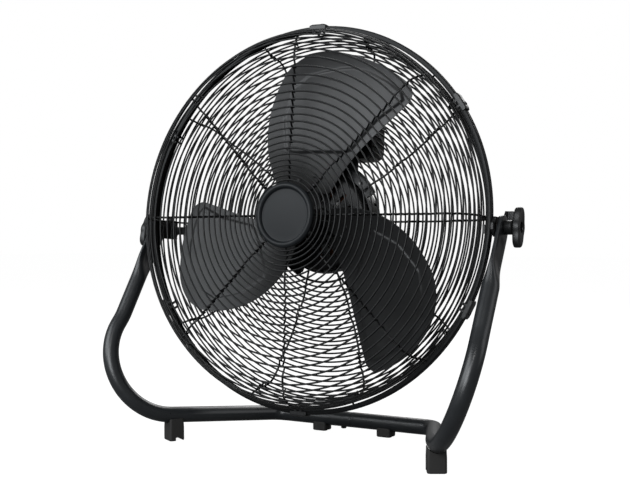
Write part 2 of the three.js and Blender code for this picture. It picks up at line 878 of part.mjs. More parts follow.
function cornerPoint(x, corner) {
  return new THREE.Vector3(x, axisPlace.y + corner.behind, corner.height);
}

const kneePoint = cornerPoint(endMiddle + uprightKnee.splay, uprightKnee);
const floorPoint = cornerPoint(endMiddle + floorCorner.splay, floorCorner);
const runPoint = cornerPoint(runBend.halfWidth, runBend);
const rearPoint = cornerPoint(rearCorner.halfWidth, rearCorner);

// Stations along the tube's centre line: straight stretches and arcs between the corners.
function tubeStations() {
  const corners = [
    { at: new THREE.Vector3(endMiddle, axisPlace.y, axisPlace.z), radius: 0 },
    { at: kneePoint, radius: uprightKnee.radius, steps: 3 },
    { at: floorPoint, radius: floorCorner.radius, steps: 12 },
    { at: runPoint, radius: runBend.radius, steps: 2 },
    { at: rearPoint, radius: rearCorner.radius, steps: 5 },
    { at: new THREE.Vector3(clearance / 2, rearPoint.y, rearPoint.z), radius: 0 },
  ];
  const stations = [...flatStations(corners[0].at, corners[1].at)];
  for (let i = 1; i < corners.length - 1; i += 1) {
    stations.push(...bendStations(corners[i - 1].at, corners[i], corners[i + 1].at));
  }
  stations.push(corners[corners.length - 1].at);
  return stations;
}

// Stations over the flattened end, from above the pivot down to where the tube is round.
function flatStations(top, below) {
  const down = new THREE.Vector3().subVectors(below, top).normalize();
  const above = flatEnd.tipRadius;
  const length = above + flatEnd.straight + flatEnd.blend;
  const stations = [];
  for (let i = 0; i <= flatEnd.steps; i += 1) {
    stations.push(top.clone().addScaledVector(down, (length * i) / flatEnd.steps - above));
  }
  return stations;
}

function bendStations(before, corner, after) {
  const inward = new THREE.Vector3().subVectors(before, corner.at).normalize();
  const outward = new THREE.Vector3().subVectors(after, corner.at).normalize();
  const between = inward.angleTo(outward);
  const setback = corner.radius / Math.tan(between / 2);
  const middle = new THREE.Vector3().addVectors(inward, outward).normalize();
  const centre = corner.at.clone().addScaledVector(middle, corner.radius / Math.sin(between / 2));
  const start = corner.at.clone().addScaledVector(inward, setback);
  const arm = new THREE.Vector3().subVectors(start, centre);
  const normal = new THREE.Vector3().crossVectors(outward, inward).normalize();
  const stations = [];
  for (let i = 0; i <= corner.steps; i += 1) {
    const angle = ((Math.PI - between) * i) / corner.steps;
    stations.push(arm.clone().applyAxisAngle(normal, angle).add(centre));
  }
  return stations;
}

// Presses the upper end of a swept tube flat, in the plane of the upright.
function pressFlat(geometry, roundRadius, thickness, width) {
  const position = geometry.attributes.position;
  const top = new THREE.Vector3(endMiddle, axisPlace.y, axisPlace.z);
  const down = new THREE.Vector3().subVectors(kneePoint, top).normalize();
  const through = new THREE.Vector3(1, 0, 0);
  const sideways = new THREE.Vector3().crossVectors(through, down).normalize();
  const point = new THREE.Vector3();
  for (let i = 0; i < position.count; i += 1) {
    point.fromBufferAttribute(position, i).sub(top);
    const along = point.dot(down);
    const share = THREE.MathUtils.smoothstep(along, flatEnd.straight, flatEnd.straight + flatEnd.blend);
    if (share < 1) {
      const inPlate = point.dot(through);
      const side = point.dot(sideways);
      const thin = THREE.MathUtils.lerp(thickness / (2 * roundRadius), 1, share);
      const wide = THREE.MathUtils.lerp(width / (2 * roundRadius), 1, share);
      point.addScaledVector(through, inPlate * (thin - 1));
      point.addScaledVector(sideways, side * (wide - 1));
    }
    point.add(top);
    position.setXYZ(i, point.x, point.y, point.z);
  }
  return geometry;
}

// Rounds the flat end's tip about the tilt axis.
function tipTrim() {
  const reach = flatEnd.width;
  const body = solid(blockAt(
    endMiddle - 20,
    endMiddle + 20,
    axisPlace.y - reach,
    axisPlace.y + reach,
    axisPlace.z,
    axisPlace.z + reach,
  ));
  const keep = rodX(flatEnd.tipRadius, endMiddle - 21, endMiddle + 21, axisPlace.y, axisPlace.z, 36);
  return geometryOf(body.subtract(solid(keep)));
}

function standTube(side) {
  const stations = tubeStations();
  const round = swept(stations, tube.radius, tube.sides);
  const outer = pressFlat(round, tube.radius, flatEnd.thickness, flatEnd.width);
  const last = stations[stations.length - 1];
  const mouth = last.clone().add(new THREE.Vector3(-1, 0, 0));
  const boreStations = [...stations.slice(flatEnd.steps + 1), mouth];
  const bore = swept(boreStations, tube.radius - tube.wall, tube.boreSides);
  const boltHole = rodX(
    bolt.radius + clearance,
    endMiddle - 20,
    endMiddle + 20,
    axisPlace.y,
    axisPlace.z,
    16,
  );
  const tools = [tipTrim(), boltHole, bore];
  if (side < 0) {
    tools.push(seamScrewShank(seamScrew.shankRadius + clearance, -1));
  }
  return mirrored(geometryOf(cut(solid(outer), tools)), side);
}

// The seam screw's shank, mirrored to the right-hand side where "side" is negative.
function seamScrewShank(radius, side) {
  const y = rearPoint.y;
  const low = rearPoint.z - tube.radius - 1;
  const geometry = new THREE.CylinderGeometry(radius, radius, tube.radius, 12);
  geometry.rotateX(Math.PI / 2);
  geometry.translate(side * seamScrew.x, y, low + tube.radius / 2);
  return geometry;
}

function seamSleeve() {
  const radius = (tube.radius - tube.wall) * Math.cos(Math.PI / tube.boreSides) - sleeve.play;
  const y = rearPoint.y;
  const body = solid(rodX(radius, -sleeve.halfLength, sleeve.halfLength, y, rearPoint.z, 16));
  const hollow = rodX(radius - 2, -sleeve.halfLength - 1, sleeve.halfLength + 1, y, rearPoint.z, 12);
  return geometryOf(cut(body, [hollow, seamScrewShank(seamScrew.shankRadius + clearance, 1)]));
}

function seamScrewPart() {
  const y = rearPoint.y;
  const underside = rearPoint.z - tube.radius - clearance;
  const head = new THREE.CylinderGeometry(seamScrew.headRadius, 2.4, seamScrew.headLength, 14);
  head.rotateX(Math.PI / 2);
  head.translate(seamScrew.x, y, underside - seamScrew.headLength / 2);
  const shank = new THREE.CylinderGeometry(seamScrew.shankRadius, seamScrew.shankRadius, 7, 10);
  shank.rotateX(Math.PI / 2);
  shank.translate(seamScrew.x, y, underside + 3);
  return geometryOf(join([head, shank]));
}

// ---------------------------------------------------------------- feet

// A rubber block under the tube, with a saddle cut to the tube's round.
function saddleFoot(centre, direction, width) {
  const level = new THREE.Vector3(direction.x, direction.y, 0).normalize();
  const top = centre.z - foot.saddle;
  const body = new THREE.BoxGeometry(foot.length, width, top);
  body.translate(0, 0, top / 2);
  body.rotateZ(Math.atan2(level.y, level.x));
  body.translate(centre.x, centre.y, 0);
  const reach = foot.length * 1.5;
  const ends = [
    centre.clone().addScaledVector(direction, -reach),
    centre.clone().addScaledVector(direction, reach),
  ];
  const saddle = swept(ends, tube.radius + clearance, 24);
  return geometryOf(cut(solid(body), [saddle]));
}

function frontFootBlock(side) {
  const direction = new THREE.Vector3().subVectors(runPoint, floorPoint).normalize();
  const towardsUpright = new THREE.Vector3().subVectors(kneePoint, floorPoint).normalize();
  const bendEnd = floorCorner.radius / Math.tan(direction.angleTo(towardsUpright) / 2);
  const along = bendEnd + foot.length / 2 - frontFoot.forward;
  const centre = floorPoint.clone().addScaledVector(direction, along);
  return mirrored(saddleFoot(centre, direction, foot.width), side);
}

function rearFootBlock(side) {
  const centre = new THREE.Vector3(rearFoot.x, rearPoint.y, rearPoint.z);
  return mirrored(saddleFoot(centre, new THREE.Vector3(1, 0, 0), rearFoot.width), side);
}

// ---------------------------------------------------------------- assembly

const fan = new THREE.Group();

const headGroup = new THREE.Group();
headGroup.position.set(0, head.depthShift, rimCentreHeight);
headGroup.rotation.x = -tiltRadians;
fan.add(headGroup);

addPart(headGroup, 'guard_rim', guardRim(), satinBlack);
const frontSpokeStart = frontGuard.hubRadius - frontGuard.spokeInwards;
const rearSpokeStart = motor.radius + rearGuard.spokeBeyondMotor;
const frontGuardWires = wireGuard(frontGuard, -hoopDepth, frontGuard.hubRadius, frontSpokeStart);
const rearGuardWires = wireGuard(rearGuard, hoopDepth, rearHubRadius, rearSpokeStart);
addPart(headGroup, 'front_guard', frontGuardWires, wireBlack);
addPart(headGroup, 'rear_guard', rearGuardWires, wireBlack);
clip.angles.forEach((angle, number) => {
  addPart(headGroup, `guard_clip_${number + 1}`, placeAround(geometryOf(guardClip()), angle), satinBlack);
});
addPart(headGroup, 'front_cap', frontCap(), capSlate);
addPart(headGroup, 'cap_clamp_plate', capClampPlate(), plasticBlack);

addPart(headGroup, 'motor_mount_plate', motorMountPlate(), satinBlack);
addPart(headGroup, 'motor_front_shell', motorFrontShell(), motorBlack);
addPart(headGroup, 'motor_rear_shell', motorRearShell(), motorBlack);
flangeBoltPlaces().forEach((place, number) => {
  addPart(headGroup, `motor_screw_${number + 1}`, motorScrew(place), plainSteel);
});
addPart(headGroup, 'front_bearing', ballBearing(motor.front, -1), plainSteel);
addPart(headGroup, 'rear_bearing', ballBearing(motor.rear, 1), plainSteel);
addPart(headGroup, 'stator_core', statorCore(), laminate);
addPart(headGroup, 'front_stator_coil', statorCoil(-1), copper);
addPart(headGroup, 'rear_stator_coil', statorCoil(1), copper);
addPart(headGroup, 'rotor_shaft', rotorAndShaft(), plainSteel);

addPart(headGroup, 'fan_hub', fanHub(), bladePaint);
for (let number = 0; number < blade.count; number += 1) {
  addPart(headGroup, `fan_blade_${number + 1}`, placeBlade(bladePlate(), number), bladePaint);
}
addPart(headGroup, 'spinner_nut', spinnerNut(), plasticBlack);

addPart(headGroup, 'control_box_cover', controlBoxCover(), plasticBlack);
addPart(headGroup, 'control_box_shell', controlBoxShell(), plasticBlack);
addPart(headGroup, 'rotary_switch', rotarySwitchBody(), plasticBlack);
addPart(headGroup, 'run_capacitor', runCapacitor(), plasticBlack);
addPart(headGroup, 'speed_knob', speedKnob(), plasticBlack);
addPart(headGroup, 'cord_gland', cordGland(), rubberBlack);

for (const [word, side] of [['left', -1], ['right', 1]]) {
  addPart(headGroup, `pivot_bracket_${word}`, mirrored(pivotBracket(), side), satinBlack);
  addPart(headGroup, `tilt_bolt_${word}`, mirrored(tiltBolt(), side), plainSteel);
  addPart(headGroup, `friction_washer_${word}`, mirrored(frictionWasher(), side), rubberBlack);
  const turn = THREE.MathUtils.degToRad(knobTurn[word]);
  addPart(headGroup, `tilt_knob_${word}`, mirrored(tiltKnobBody(turn), side), plasticBlack);
  addPart(fan, `stand_tube_${word}`, standTube(side), satinBlack);
  addPart(fan, `front_foot_${word}`, frontFootBlock(side), rubberBlack);
  addPart(fan, `rear_foot_${word}`, rearFootBlock(side), rubberBlack);
}
addPart(fan, 'seam_sleeve', seamSleeve(), plainSteel);
addPart(fan, 'seam_screw', seamScrewPart(), plainSteel);

export default fan;
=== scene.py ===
"""A high-velocity floor fan on a bent-tube stand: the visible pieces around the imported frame.

Sizes are in millimetres and become metres when a piece is handed over. The head's pieces
are drawn in the head's own frame, whose y axis is the fan's axis, pointing to the rear,
and whose origin is the centre of the guard rim. The stand's pieces are drawn in the
object's frame: +Z up, the air leaves towards -Y, +X on the right seen from the front.
"""

import json
import logging
import math
from collections.abc import Callable, Iterable, Sequence
from dataclasses import dataclass
from enum import Enum
from functools import cache
from typing import Any

import bmesh
import bpy
from mathutils import Euler, Matrix, Vector


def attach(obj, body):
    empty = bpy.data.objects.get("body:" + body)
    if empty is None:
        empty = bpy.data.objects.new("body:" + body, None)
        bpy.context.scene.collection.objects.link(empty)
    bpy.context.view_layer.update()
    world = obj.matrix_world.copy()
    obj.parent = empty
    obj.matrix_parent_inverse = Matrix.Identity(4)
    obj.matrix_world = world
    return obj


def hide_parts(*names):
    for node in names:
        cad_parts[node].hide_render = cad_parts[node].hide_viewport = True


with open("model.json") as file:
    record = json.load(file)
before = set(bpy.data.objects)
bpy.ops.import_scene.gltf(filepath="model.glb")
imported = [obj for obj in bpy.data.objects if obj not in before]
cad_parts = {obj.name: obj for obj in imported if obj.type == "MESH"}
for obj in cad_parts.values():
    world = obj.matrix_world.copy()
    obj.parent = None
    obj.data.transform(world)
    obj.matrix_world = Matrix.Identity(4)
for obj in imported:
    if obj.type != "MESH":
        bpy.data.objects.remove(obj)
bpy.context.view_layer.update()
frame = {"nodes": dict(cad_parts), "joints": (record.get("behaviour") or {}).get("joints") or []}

LOG = logging.getLogger("floor_fan")
MM = 0.001
TURN = 2 * math.pi


class Body(str, Enum):
    """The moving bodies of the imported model."""

    STAND = "stand"
    HEAD = "head"
    FAN = "fan"
    LEFT_KNOB = "left_knob"
    RIGHT_KNOB = "right_knob"
    DIAL = "speed_dial"


class Slot(str, Enum):
    """The record's material slots."""

    FRAME = "frame_paint"
    WIRE = "guard_wire"
    BLADE = "blade_metal"
    MOTOR = "motor_casting"
    STEEL = "plain_steel"
    PLASTIC = "black_plastic"
    CAP = "cap_plastic"
    RUBBER = "black_rubber"


class Side(Enum):
    """The two sides of the fan, as the sign of X."""

    LEFT = -1
    RIGHT = 1

    @property
    def word(self) -> str:
        """The side's name as node names spell it."""
        return self.name.lower()


# ------------------------------------------------------------------ node trees


class NodeGraph:
    """A node tree that is written with one call for each node."""

    def __init__(self, tree: bpy.types.NodeTree) -> None:
        """Keeps the tree that the nodes go into."""
        self.tree = tree

    def node(self, kind: str, settings: dict[str, Any] | None = None,
             inputs: dict[str, Any] | None = None) -> bpy.types.Node:
        """Adds a node, sets what it is, then fills its sockets.

        Args:
            kind: The node's type.
            settings: Properties of the node; "stops" holds a ramp's (place, colour) pairs.
            inputs: Values, sockets or numbers, by socket name or identifier.

        Returns:
            The new node.
        """
        made = self.tree.nodes.new(kind)
        for key, value in (settings or {}).items():
            if key == "stops":
                self._set_stops(made.color_ramp, value)
            else:
                setattr(made, key, value)
        for key, value in (inputs or {}).items():
            self.fill(self.find(made.inputs, key), value)
        return made

    def fill(self, socket: bpy.types.NodeSocket, value: Any) -> None:
        """Links a socket or number into a socket, or sets its plain value."""
        if isinstance(value, Number):
            value = value.socket
        if isinstance(value, bpy.types.NodeSocket):
            self.tree.links.new(value, socket)
        else:
            socket.default_value = value

    @staticmethod
    def find(sockets: Iterable[bpy.types.NodeSocket], key: str) -> bpy.types.NodeSocket:
        """Finds a socket by its identifier, or else by its name.

        Args:
            sockets: The node's inputs or outputs.
            key: An identifier or a name.

        Returns:
            The first socket that fits.
        """
        listed = list(sockets)
        for socket in listed:
            if socket.identifier == key:
                return socket
        return next(socket for socket in listed if socket.name == key)

    @staticmethod
    def _set_stops(ramp: bpy.types.ColorRamp, stops: Sequence[tuple[float, Sequence[float]]]) -> None:
        """Gives a ramp its stops.

        Args:
            ramp: The node's colour ramp.
            stops: Places from 0 to 1, each with its colour.
        """
        while len(ramp.elements) < len(stops):
            ramp.elements.new(1.0)
        for element, (place, colour) in zip(ramp.elements, stops):
            element.position = place
            element.color = (*colour[:3], 1.0)

    def number(self, node: bpy.types.Node, output: str) -> "Number":
        """Wraps one output of a node as a number."""
        return Number(self, self.find(node.outputs, output))

    def maths(self, operation: str, *values: "Number | float") -> "Number":
        """Adds a Math node.

        Args:
            operation: The node's operation.
            *values: What goes into its value sockets, in order.

        Returns:
            The result.
        """
        keys = ("Value", "Value_001", "Value_002")
        made = self.node("ShaderNodeMath", {"operation": operation}, dict(zip(keys, values)))
        return self.number(made, "Value")


class Number:
    """A number socket of a node tree, with the arithmetic of a Python number."""

    def __init__(self, graph: NodeGraph, socket: bpy.types.NodeSocket) -> None:
        """Keeps the socket and the graph that it belongs to."""
        self.graph = graph
        self.socket = socket

    def __add__(self, other: "Number | float") -> "Number":
        """self + other."""
        return self.graph.maths("ADD", self, other)

    __radd__ = __add__

    def __sub__(self, other: "Number | float") -> "Number":
        """self - other."""
        return self.graph.maths("SUBTRACT", self, other)

    def __rsub__(self, other: "Number | float") -> "Number":
        """other - self."""
        return self.graph.maths("SUBTRACT", other, self)

    def __mul__(self, other: "Number | float") -> "Number":
        """self * other."""
        return self.graph.maths("MULTIPLY", self, other)

    __rmul__ = __mul__

    def __truediv__(self, other: "Number | float") -> "Number":
        """self / other."""
        return self.graph.maths("DIVIDE", self, other)

    def rising(self, low: float, high: float) -> "Number":
        """A soft step from 0 at low to 1 at high."""
        made = self.graph.node("ShaderNodeMapRange", {"interpolation_type": "SMOOTHSTEP"},
                               {"Value": self, "From Min": low, "From Max": high})
        return self.graph.number(made, "Result")


class MaterialGraph(NodeGraph):
    """The node tree of one finish, in Object coordinates."""

    def __init__(self, name: str) -> None:
        """Makes the empty material."""
        self.material = bpy.data.materials.new(name)
        self.material.use_nodes = True
        super().__init__(self.material.node_tree)
        self.tree.nodes.clear()
        self.place = self.node("ShaderNodeTexCoord").outputs["Object"]

    def streaks(self, scale: Sequence[float], turn: Sequence[float], detail: float = 2.0) -> Number:
        """Noise that is drawn out along an axis.

        Args:
            scale: Lumps in a metre along each axis of the turned coordinates.
            turn: Euler angles in radians.
            detail: Octaves beyond the first.

        Returns:
            The noise from 0 to 1.
        """
        mapped = self.node("ShaderNodeMapping", {"vector_type": "POINT"},
                           {"Vector": self.place, "Rotation": turn, "Scale": scale})
        return self.noise(1000, detail, vector=mapped.outputs["Vector"])

    def noise(self, size: float, detail: float = 2.0, roughness: float = 0.5,
              vector: bpy.types.NodeSocket | None = None) -> Number:
        """Noise with lumps of about the given size.

        Args:
            size: Size of a lump in millimetres.
            detail: Octaves beyond the first.
            roughness: How strong the finer octaves are.
            vector: Coordinates to use instead of the object's own.

        Returns:
            The noise from 0 to 1.
        """
        made = self.node("ShaderNodeTexNoise", {"noise_dimensions": "3D"},
                         {"Vector": vector or self.place, "Scale": 1 / (size * MM),
                          "Detail": detail, "Roughness": roughness})
        return self.number(made, "Fac")

    def cells(self, size: float, feature: str = "F1") -> Number:
        """Distance to the nearest point of cells that are as many millimetres wide as size says."""
        made = self.node("ShaderNodeTexVoronoi", {"feature": feature},
                         {"Vector": self.place, "Scale": 1 / (size * MM)})
        return self.number(made, "Distance")

    def mixed(self, factor: Number, first: Any, second: Any) -> bpy.types.NodeSocket:
        """Mixes two colours or colour sockets: a factor of 0 gives the first, 1 the second."""
        made = self.node("ShaderNodeMix", {"data_type": "RGBA", "clamp_factor": True},
                         {"Factor_Float": factor, "A_Color": rgba(first), "B_Color": rgba(second)})
        return self.find(made.outputs, "Result_Color")

    def relief(self, height: Number, depth: float, below: bpy.types.NodeSocket | None = None
               ) -> bpy.types.NodeSocket:
        """Turns a height from 0 to 1 into a normal.

        Args:
            height: The height.
            depth: What a height of 1 stands for, in millimetres.
            below: A normal that this relief lies on.

        Returns:
            The normal's socket.
        """
        inputs: dict[str, Any] = {"Height": height, "Distance": depth * MM, "Strength": 1.0}
        if below is not None:
            inputs["Normal"] = below
        return self.node("ShaderNodeBump", inputs=inputs).outputs["Normal"]

    def surface(self, **sockets: Any) -> bpy.types.Material:
        """Ends the tree in a Principled shader.

        Args:
            **sockets: Values or links; an underscore in a name stands for a space.

        Returns:
            The finished material.
        """
        named = {key.replace("_", " "): value for key, value in sockets.items()}
        shader = self.node("ShaderNodeBsdfPrincipled", inputs=named)
        self.node("ShaderNodeOutputMaterial", inputs={"Surface": shader.outputs["BSDF"]})
        return self.material


def rgba(colour: Any) -> Any:
    """A colour with its alpha, or a socket as it is."""
    return colour if isinstance(colour, bpy.types.NodeSocket) else (*colour[:3], 1.0)


def grey(level: float, warmth: float = 0.0) -> tuple[float, float, float]:
    """A linear grey; a positive warmth leans it to red, a negative one to blue."""
    return (level * (1 + warmth), level, level * (1 - warmth))


# ------------------------------------------------------------------ finishes


@dataclass(frozen=True)
class Finish:
    """What all finishes share: a colour, a gloss and a name."""

    name: str
    level: float
    warmth: float = 0.0
    roughness: float = 0.4

    def material(self) -> bpy.types.Material:
        """The finish's material, made once."""
        return bpy.data.materials.get(self.name) or self.build(MaterialGraph(self.name))

    def tones(self, graph: MaterialGraph, share: Number, low: float, high: float) -> bpy.types.NodeSocket:
        """The finish's colour, between a low and a high multiple of its level."""
        return graph.mixed(share, grey(self.level * low, self.warmth), grey(self.level * high, self.warmth))

    def build(self, graph: MaterialGraph) -> bpy.types.Material:
        """Builds the node tree; each kind of finish has its own.

        Args:
            graph: The empty graph.

        Returns:
            The finished material.
        """
        raise NotImplementedError


@dataclass(frozen=True)
class Paint(Finish):
    """Baked paint over metal: a fine orange peel, uneven gloss and a little dust."""

    peel_size: float = 1.6
    peel_depth: float = 0.012
    dust: float = 0.012
    specular: float = 0.5

    def build(self, graph: MaterialGraph) -> bpy.types.Material:
        """Builds the paint's tree."""
        cloud = graph.noise(60, 3)
        film = graph.noise(9, 2)
        peel = graph.noise(self.peel_size, 1.5, 0.4)
        specks = graph.noise(0.9, 0.5).rising(0.7, 0.8) * graph.noise(35, 2).rising(0.42, 0.66)
        shade = 0.75 * cloud + 0.25 * film
        tone = self.tones(graph, shade.rising(0.3, 0.7), 0.86, 1.14)
        dusty = graph.mixed(specks * self.dust * 25, tone, grey(self.level + self.dust * 1.6, 0.06))
        gloss = self.roughness + (film - 0.5) * 0.10 + (cloud - 0.5) * 0.12 + specks * 0.18
        scratch = graph.streaks((900, 900, 60), (0.5, 0.35, 0.2), 0)
        fine = graph.relief(scratch.rising(0.62, 0.66), 0.003)
        return graph.surface(Base_Color=dusty, Roughness=gloss, Specular_IOR_Level=self.specular,
                             Normal=graph.relief(peel, self.peel_depth, fine))


@dataclass(frozen=True)
class BladePaint(Finish):
    """Metallic paint on sheet aluminium, with flakes and patches of dust."""

    metallic: float = 0.35
    flake: float = 0.45
    roll_depth: float = 0.02

    def build(self, graph: MaterialGraph) -> bpy.types.Material:
        """Builds the blade paint's tree."""
        flakes = graph.cells(self.flake)
        cloud = graph.noise(45, 3)
        rolled = graph.streaks((60, 900, 60), (0.2, 0.1, 0.6))
        glint = (1 - flakes).rising(0.55, 0.95)
        tone = self.tones(graph, cloud.rising(0.32, 0.68), 0.88, 1.12)
        sparkle = graph.mixed(glint * 0.35, tone, grey(self.level * 2.0, self.warmth))
        dust = graph.noise(18, 4, 0.65).rising(0.56, 0.8) * 0.18
        colour = graph.mixed(dust, sparkle, grey(self.level * 2.4, 0.08))
        gloss = self.roughness + (cloud - 0.5) * 0.14 + dust * 0.5 - glint * 0.05
        peel = graph.relief(graph.noise(2.6, 1.5), 0.012)
        return graph.surface(Base_Color=colour, Roughness=gloss, Metallic=self.metallic,
                             Normal=graph.relief(rolled, self.roll_depth, peel))


@dataclass(frozen=True)
class Moulding(Finish):
    """Moulded plastic or rubber with a spark-eroded grain and rubbed patches."""

    grain_size: float = 0.5
    grain_depth: float = 0.02
    rub: float = 0.25
    specular: float = 0.5

    def build(self, graph: MaterialGraph) -> bpy.types.Material:
        """Builds the moulding's tree."""
        grain = graph.cells(self.grain_size, "SMOOTH_F1")
        cloud = graph.noise(28, 3)
        flow = graph.streaks((40, 160, 40), (0, 0, 0.4))
        rubbed = graph.noise(7, 4, 0.6).rising(0.55, 0.75) * self.rub
        tone = self.tones(graph, cloud * 0.6 + flow * 0.4, 0.85, 1.15)
        colour = graph.mixed(rubbed, tone, grey(self.level * 1.7, self.warmth + 0.03))
        gloss = self.roughness + (cloud - 0.5) * 0.12 + rubbed * 0.2
        return graph.surface(Base_Color=colour, Roughness=gloss, Specular_IOR_Level=self.specular,
                             Normal=graph.relief(grain, self.grain_depth))


@dataclass(frozen=True)
class Casting(Finish):
    """Cast or pressed metal under a coarse wrinkle paint."""

    wrinkle_size: float = 1.1
    wrinkle_depth: float = 0.05
    specular: float = 0.5

    def build(self, graph: MaterialGraph) -> bpy.types.Material:
        """Builds the casting's tree."""
        coarse = graph.noise(self.wrinkle_size, 3, 0.6)
        pores = graph.cells(self.wrinkle_size * 2.2)
        cloud = graph.noise(30, 2)
        # The colour follows the wrinkle noise that also raises the relief: painted shade in the hollows and
        # painted highlight on the crests, mixed with random mottling from the cloud noise.
        tone = self.tones(graph, coarse * 0.5 + cloud * 0.5, 0.75, 1.3)
        gloss = self.roughness + (coarse - 0.5) * 0.25
        return graph.surface(Base_Color=tone, Roughness=gloss, Specular_IOR_Level=self.specular,
                             Normal=graph.relief(coarse + pores * 0.4, self.wrinkle_depth))


@dataclass(frozen=True)
class Steel(Finish):
    """Bare or zinc-plated steel with fine tool marks and a stained bloom."""

    marks: float = 0.08
    metallic: float = 1.0

    def build(self, graph: MaterialGraph) -> bpy.types.Material:
        """Builds the steel's tree."""
        marks = graph.streaks((1600, 140, 1600), (0.1, 0.0, 0.2))
        bloom = graph.noise(6, 3, 0.6)
        tone = self.tones(graph, bloom, 0.75, 1.15)
        gloss = self.roughness + (marks - 0.5) * 0.2 + (bloom - 0.5) * 0.2
        return graph.surface(Base_Color=tone, Roughness=gloss, Metallic=self.metallic,
                             Normal=graph.relief(marks, self.marks * 0.1))


@dataclass(frozen=True)
class Winding(Finish):
    """Enamelled copper wire laid side by side, or the edges of stacked sheets."""

    colour: tuple[float, float, float] = (0.42, 0.14, 0.05)
    pitch: float = 0.9
    depth: float = 0.25
    metallic: float = 0.9

    def build(self, graph: MaterialGraph) -> bpy.types.Material:
        """Builds the winding's tree."""
        bands = graph.node("ShaderNodeTexWave", {"wave_type": "BANDS", "bands_direction": "Y"},
                           {"Vector": graph.place, "Scale": 0.31 / (self.pitch * MM), "Distortion": 0.6,
                            "Detail": 1.0})
        wires = graph.number(bands, "Fac")
        tint = graph.noise(9, 3)
        # The bands that raise the relief also darken the colour where they run low: painted shade in the
        # grooves between the copper wires and between the stacked sheets.
        dark = tuple(0.55 * part for part in self.colour)
        tone = graph.mixed(wires * 0.7 + tint * 0.3, dark, self.colour)
        return graph.surface(Base_Color=tone, Roughness=self.roughness + (tint - 0.5) * 0.2,
                             Metallic=self.metallic, Normal=graph.relief(wires, self.depth))


class Finishes:
    """The fan's finishes, by what they are on."""

    tube = Paint("satin_black_tube", 0.016, -0.10, 0.30, peel_size=1.8, peel_depth=0.008)
    rim = Paint("satin_black_rim", 0.007, -0.06, 0.32, peel_size=1.4, peel_depth=0.010, specular=0.14)
    sheet = Paint("satin_black_sheet", 0.010, -0.04, 0.40, peel_size=1.2, peel_depth=0.012)
    wire = Paint("black_coated_wire", 0.004, -0.04, 0.34, peel_size=0.9, peel_depth=0.008, specular=0.26)
    blade = BladePaint("dark_metallic_blade", 0.019, -0.02, 0.37)
    cap = Moulding("slate_cap_plastic", 0.011, -0.13, 0.40, grain_size=0.45, grain_depth=0.012, rub=0.06,
                   specular=0.2)
    plastic = Moulding("black_moulded_plastic", 0.007, -0.02, 0.40, grain_size=0.5, grain_depth=0.022,
                       specular=0.46)
    housing = Moulding("black_housing_plastic", 0.004, -0.02, 0.33, grain_size=0.5, grain_depth=0.02,
                       specular=0.12)
    rubber = Moulding("black_rubber_block", 0.014, 0.06, 0.72, grain_size=0.8, grain_depth=0.03, rub=0.4)
    motor = Casting("black_motor_casting", 0.003, -0.02, 0.32, specular=0.2)
    steel = Steel("zinc_steel", 0.30, 0.02, 0.38)
    dark_steel = Steel("blackened_steel", 0.055, 0.0, 0.42)
    copper = Winding("enamelled_copper", 0.2, 0.0, 0.38, colour=(0.16, 0.055, 0.022))
    laminate = Winding("stacked_laminations", 0.2, 0.0, 0.5, colour=(0.18, 0.18, 0.19), pitch=0.6, depth=0.1)
    marker = Moulding("pale_marker_inlay", 0.55, 0.02, 0.5, grain_size=0.6, grain_depth=0.004, rub=0.0)


# ------------------------------------------------------------------ outlines and paths


@dataclass(frozen=True)
class Corner:
    """A corner of a path, with the radius that rounds it."""

    at: Vector
    radius: float = 0.0


def flat(*points: Sequence[float]) -> list[Corner]:
    """Corners in a plane from (u, v) or (u, v, radius)."""
    return [Corner(Vector((p[0], p[1], 0.0)), p[2] if len(p) > 2 else 0.0) for p in points]


def rounded(corners: Sequence[Corner], steps: int = 8, closed: bool = False) -> list[Vector]:
    """A path through corners, with an arc at each corner that has a radius.

    Args:
        corners: The corners in order.
        steps: Steps of an arc over a quarter turn.
        closed: Whether the last corner leads back to the first.

    Returns:
        The points of the path.
    """
    count = len(corners)
    path: list[Vector] = []
    for index, corner in enumerate(corners):
        at_end = not closed and index in (0, count - 1)
        if corner.radius <= 0 or at_end:
            path.append(corner.at.copy())
            continue
        inward = (corners[index - 1].at - corner.at).normalized()
        outward = (corners[(index + 1) % count].at - corner.at).normalized()
        between = inward.angle(outward)
        middle = (inward + outward).normalized()
        centre = corner.at + middle * (corner.radius / math.sin(between / 2))
        start = corner.at + inward * (corner.radius / math.tan(between / 2))
        arm, normal = start - centre, outward.cross(inward).normalized()
        sweep = math.pi - between
        parts = max(2, math.ceil(steps * sweep / (math.pi / 2)))
        path += [centre + Matrix.Rotation(sweep * k / parts, 3, normal) @ arm for k in range(parts + 1)]
    return path


def lengths(path: Sequence[Vector]) -> list[float]:
    """How far along the path each of its points lies."""
    along = [0.0]
    for before, after in zip(path, path[1:]):
        along.append(along[-1] + (after - before).length)
    return along


def at_length(path: Sequence[Vector], along: Sequence[float], place: float) -> Vector:
    """The point of a path at a length from its start.

    Args:
        path: The path's points.
        along: Their lengths, from lengths().
        place: The length wanted.

    Returns:
        The point, on the straight stretch between its two neighbours.
    """
    for index in range(1, len(path)):
        if place <= along[index] or index == len(path) - 1:
            step = along[index] - along[index - 1]
            return path[index - 1].lerp(path[index], (place - along[index - 1]) / step)
    return path[-1].copy()


def circle(radius: float, sides: int, u: float = 0.0, v: float = 0.0) -> list[Vector]:
    """The points of a circle in the (u, v) plane."""
    return [Vector((u + radius * math.cos(TURN * k / sides), v + radius * math.sin(TURN * k / sides), 0))
            for k in range(sides)]


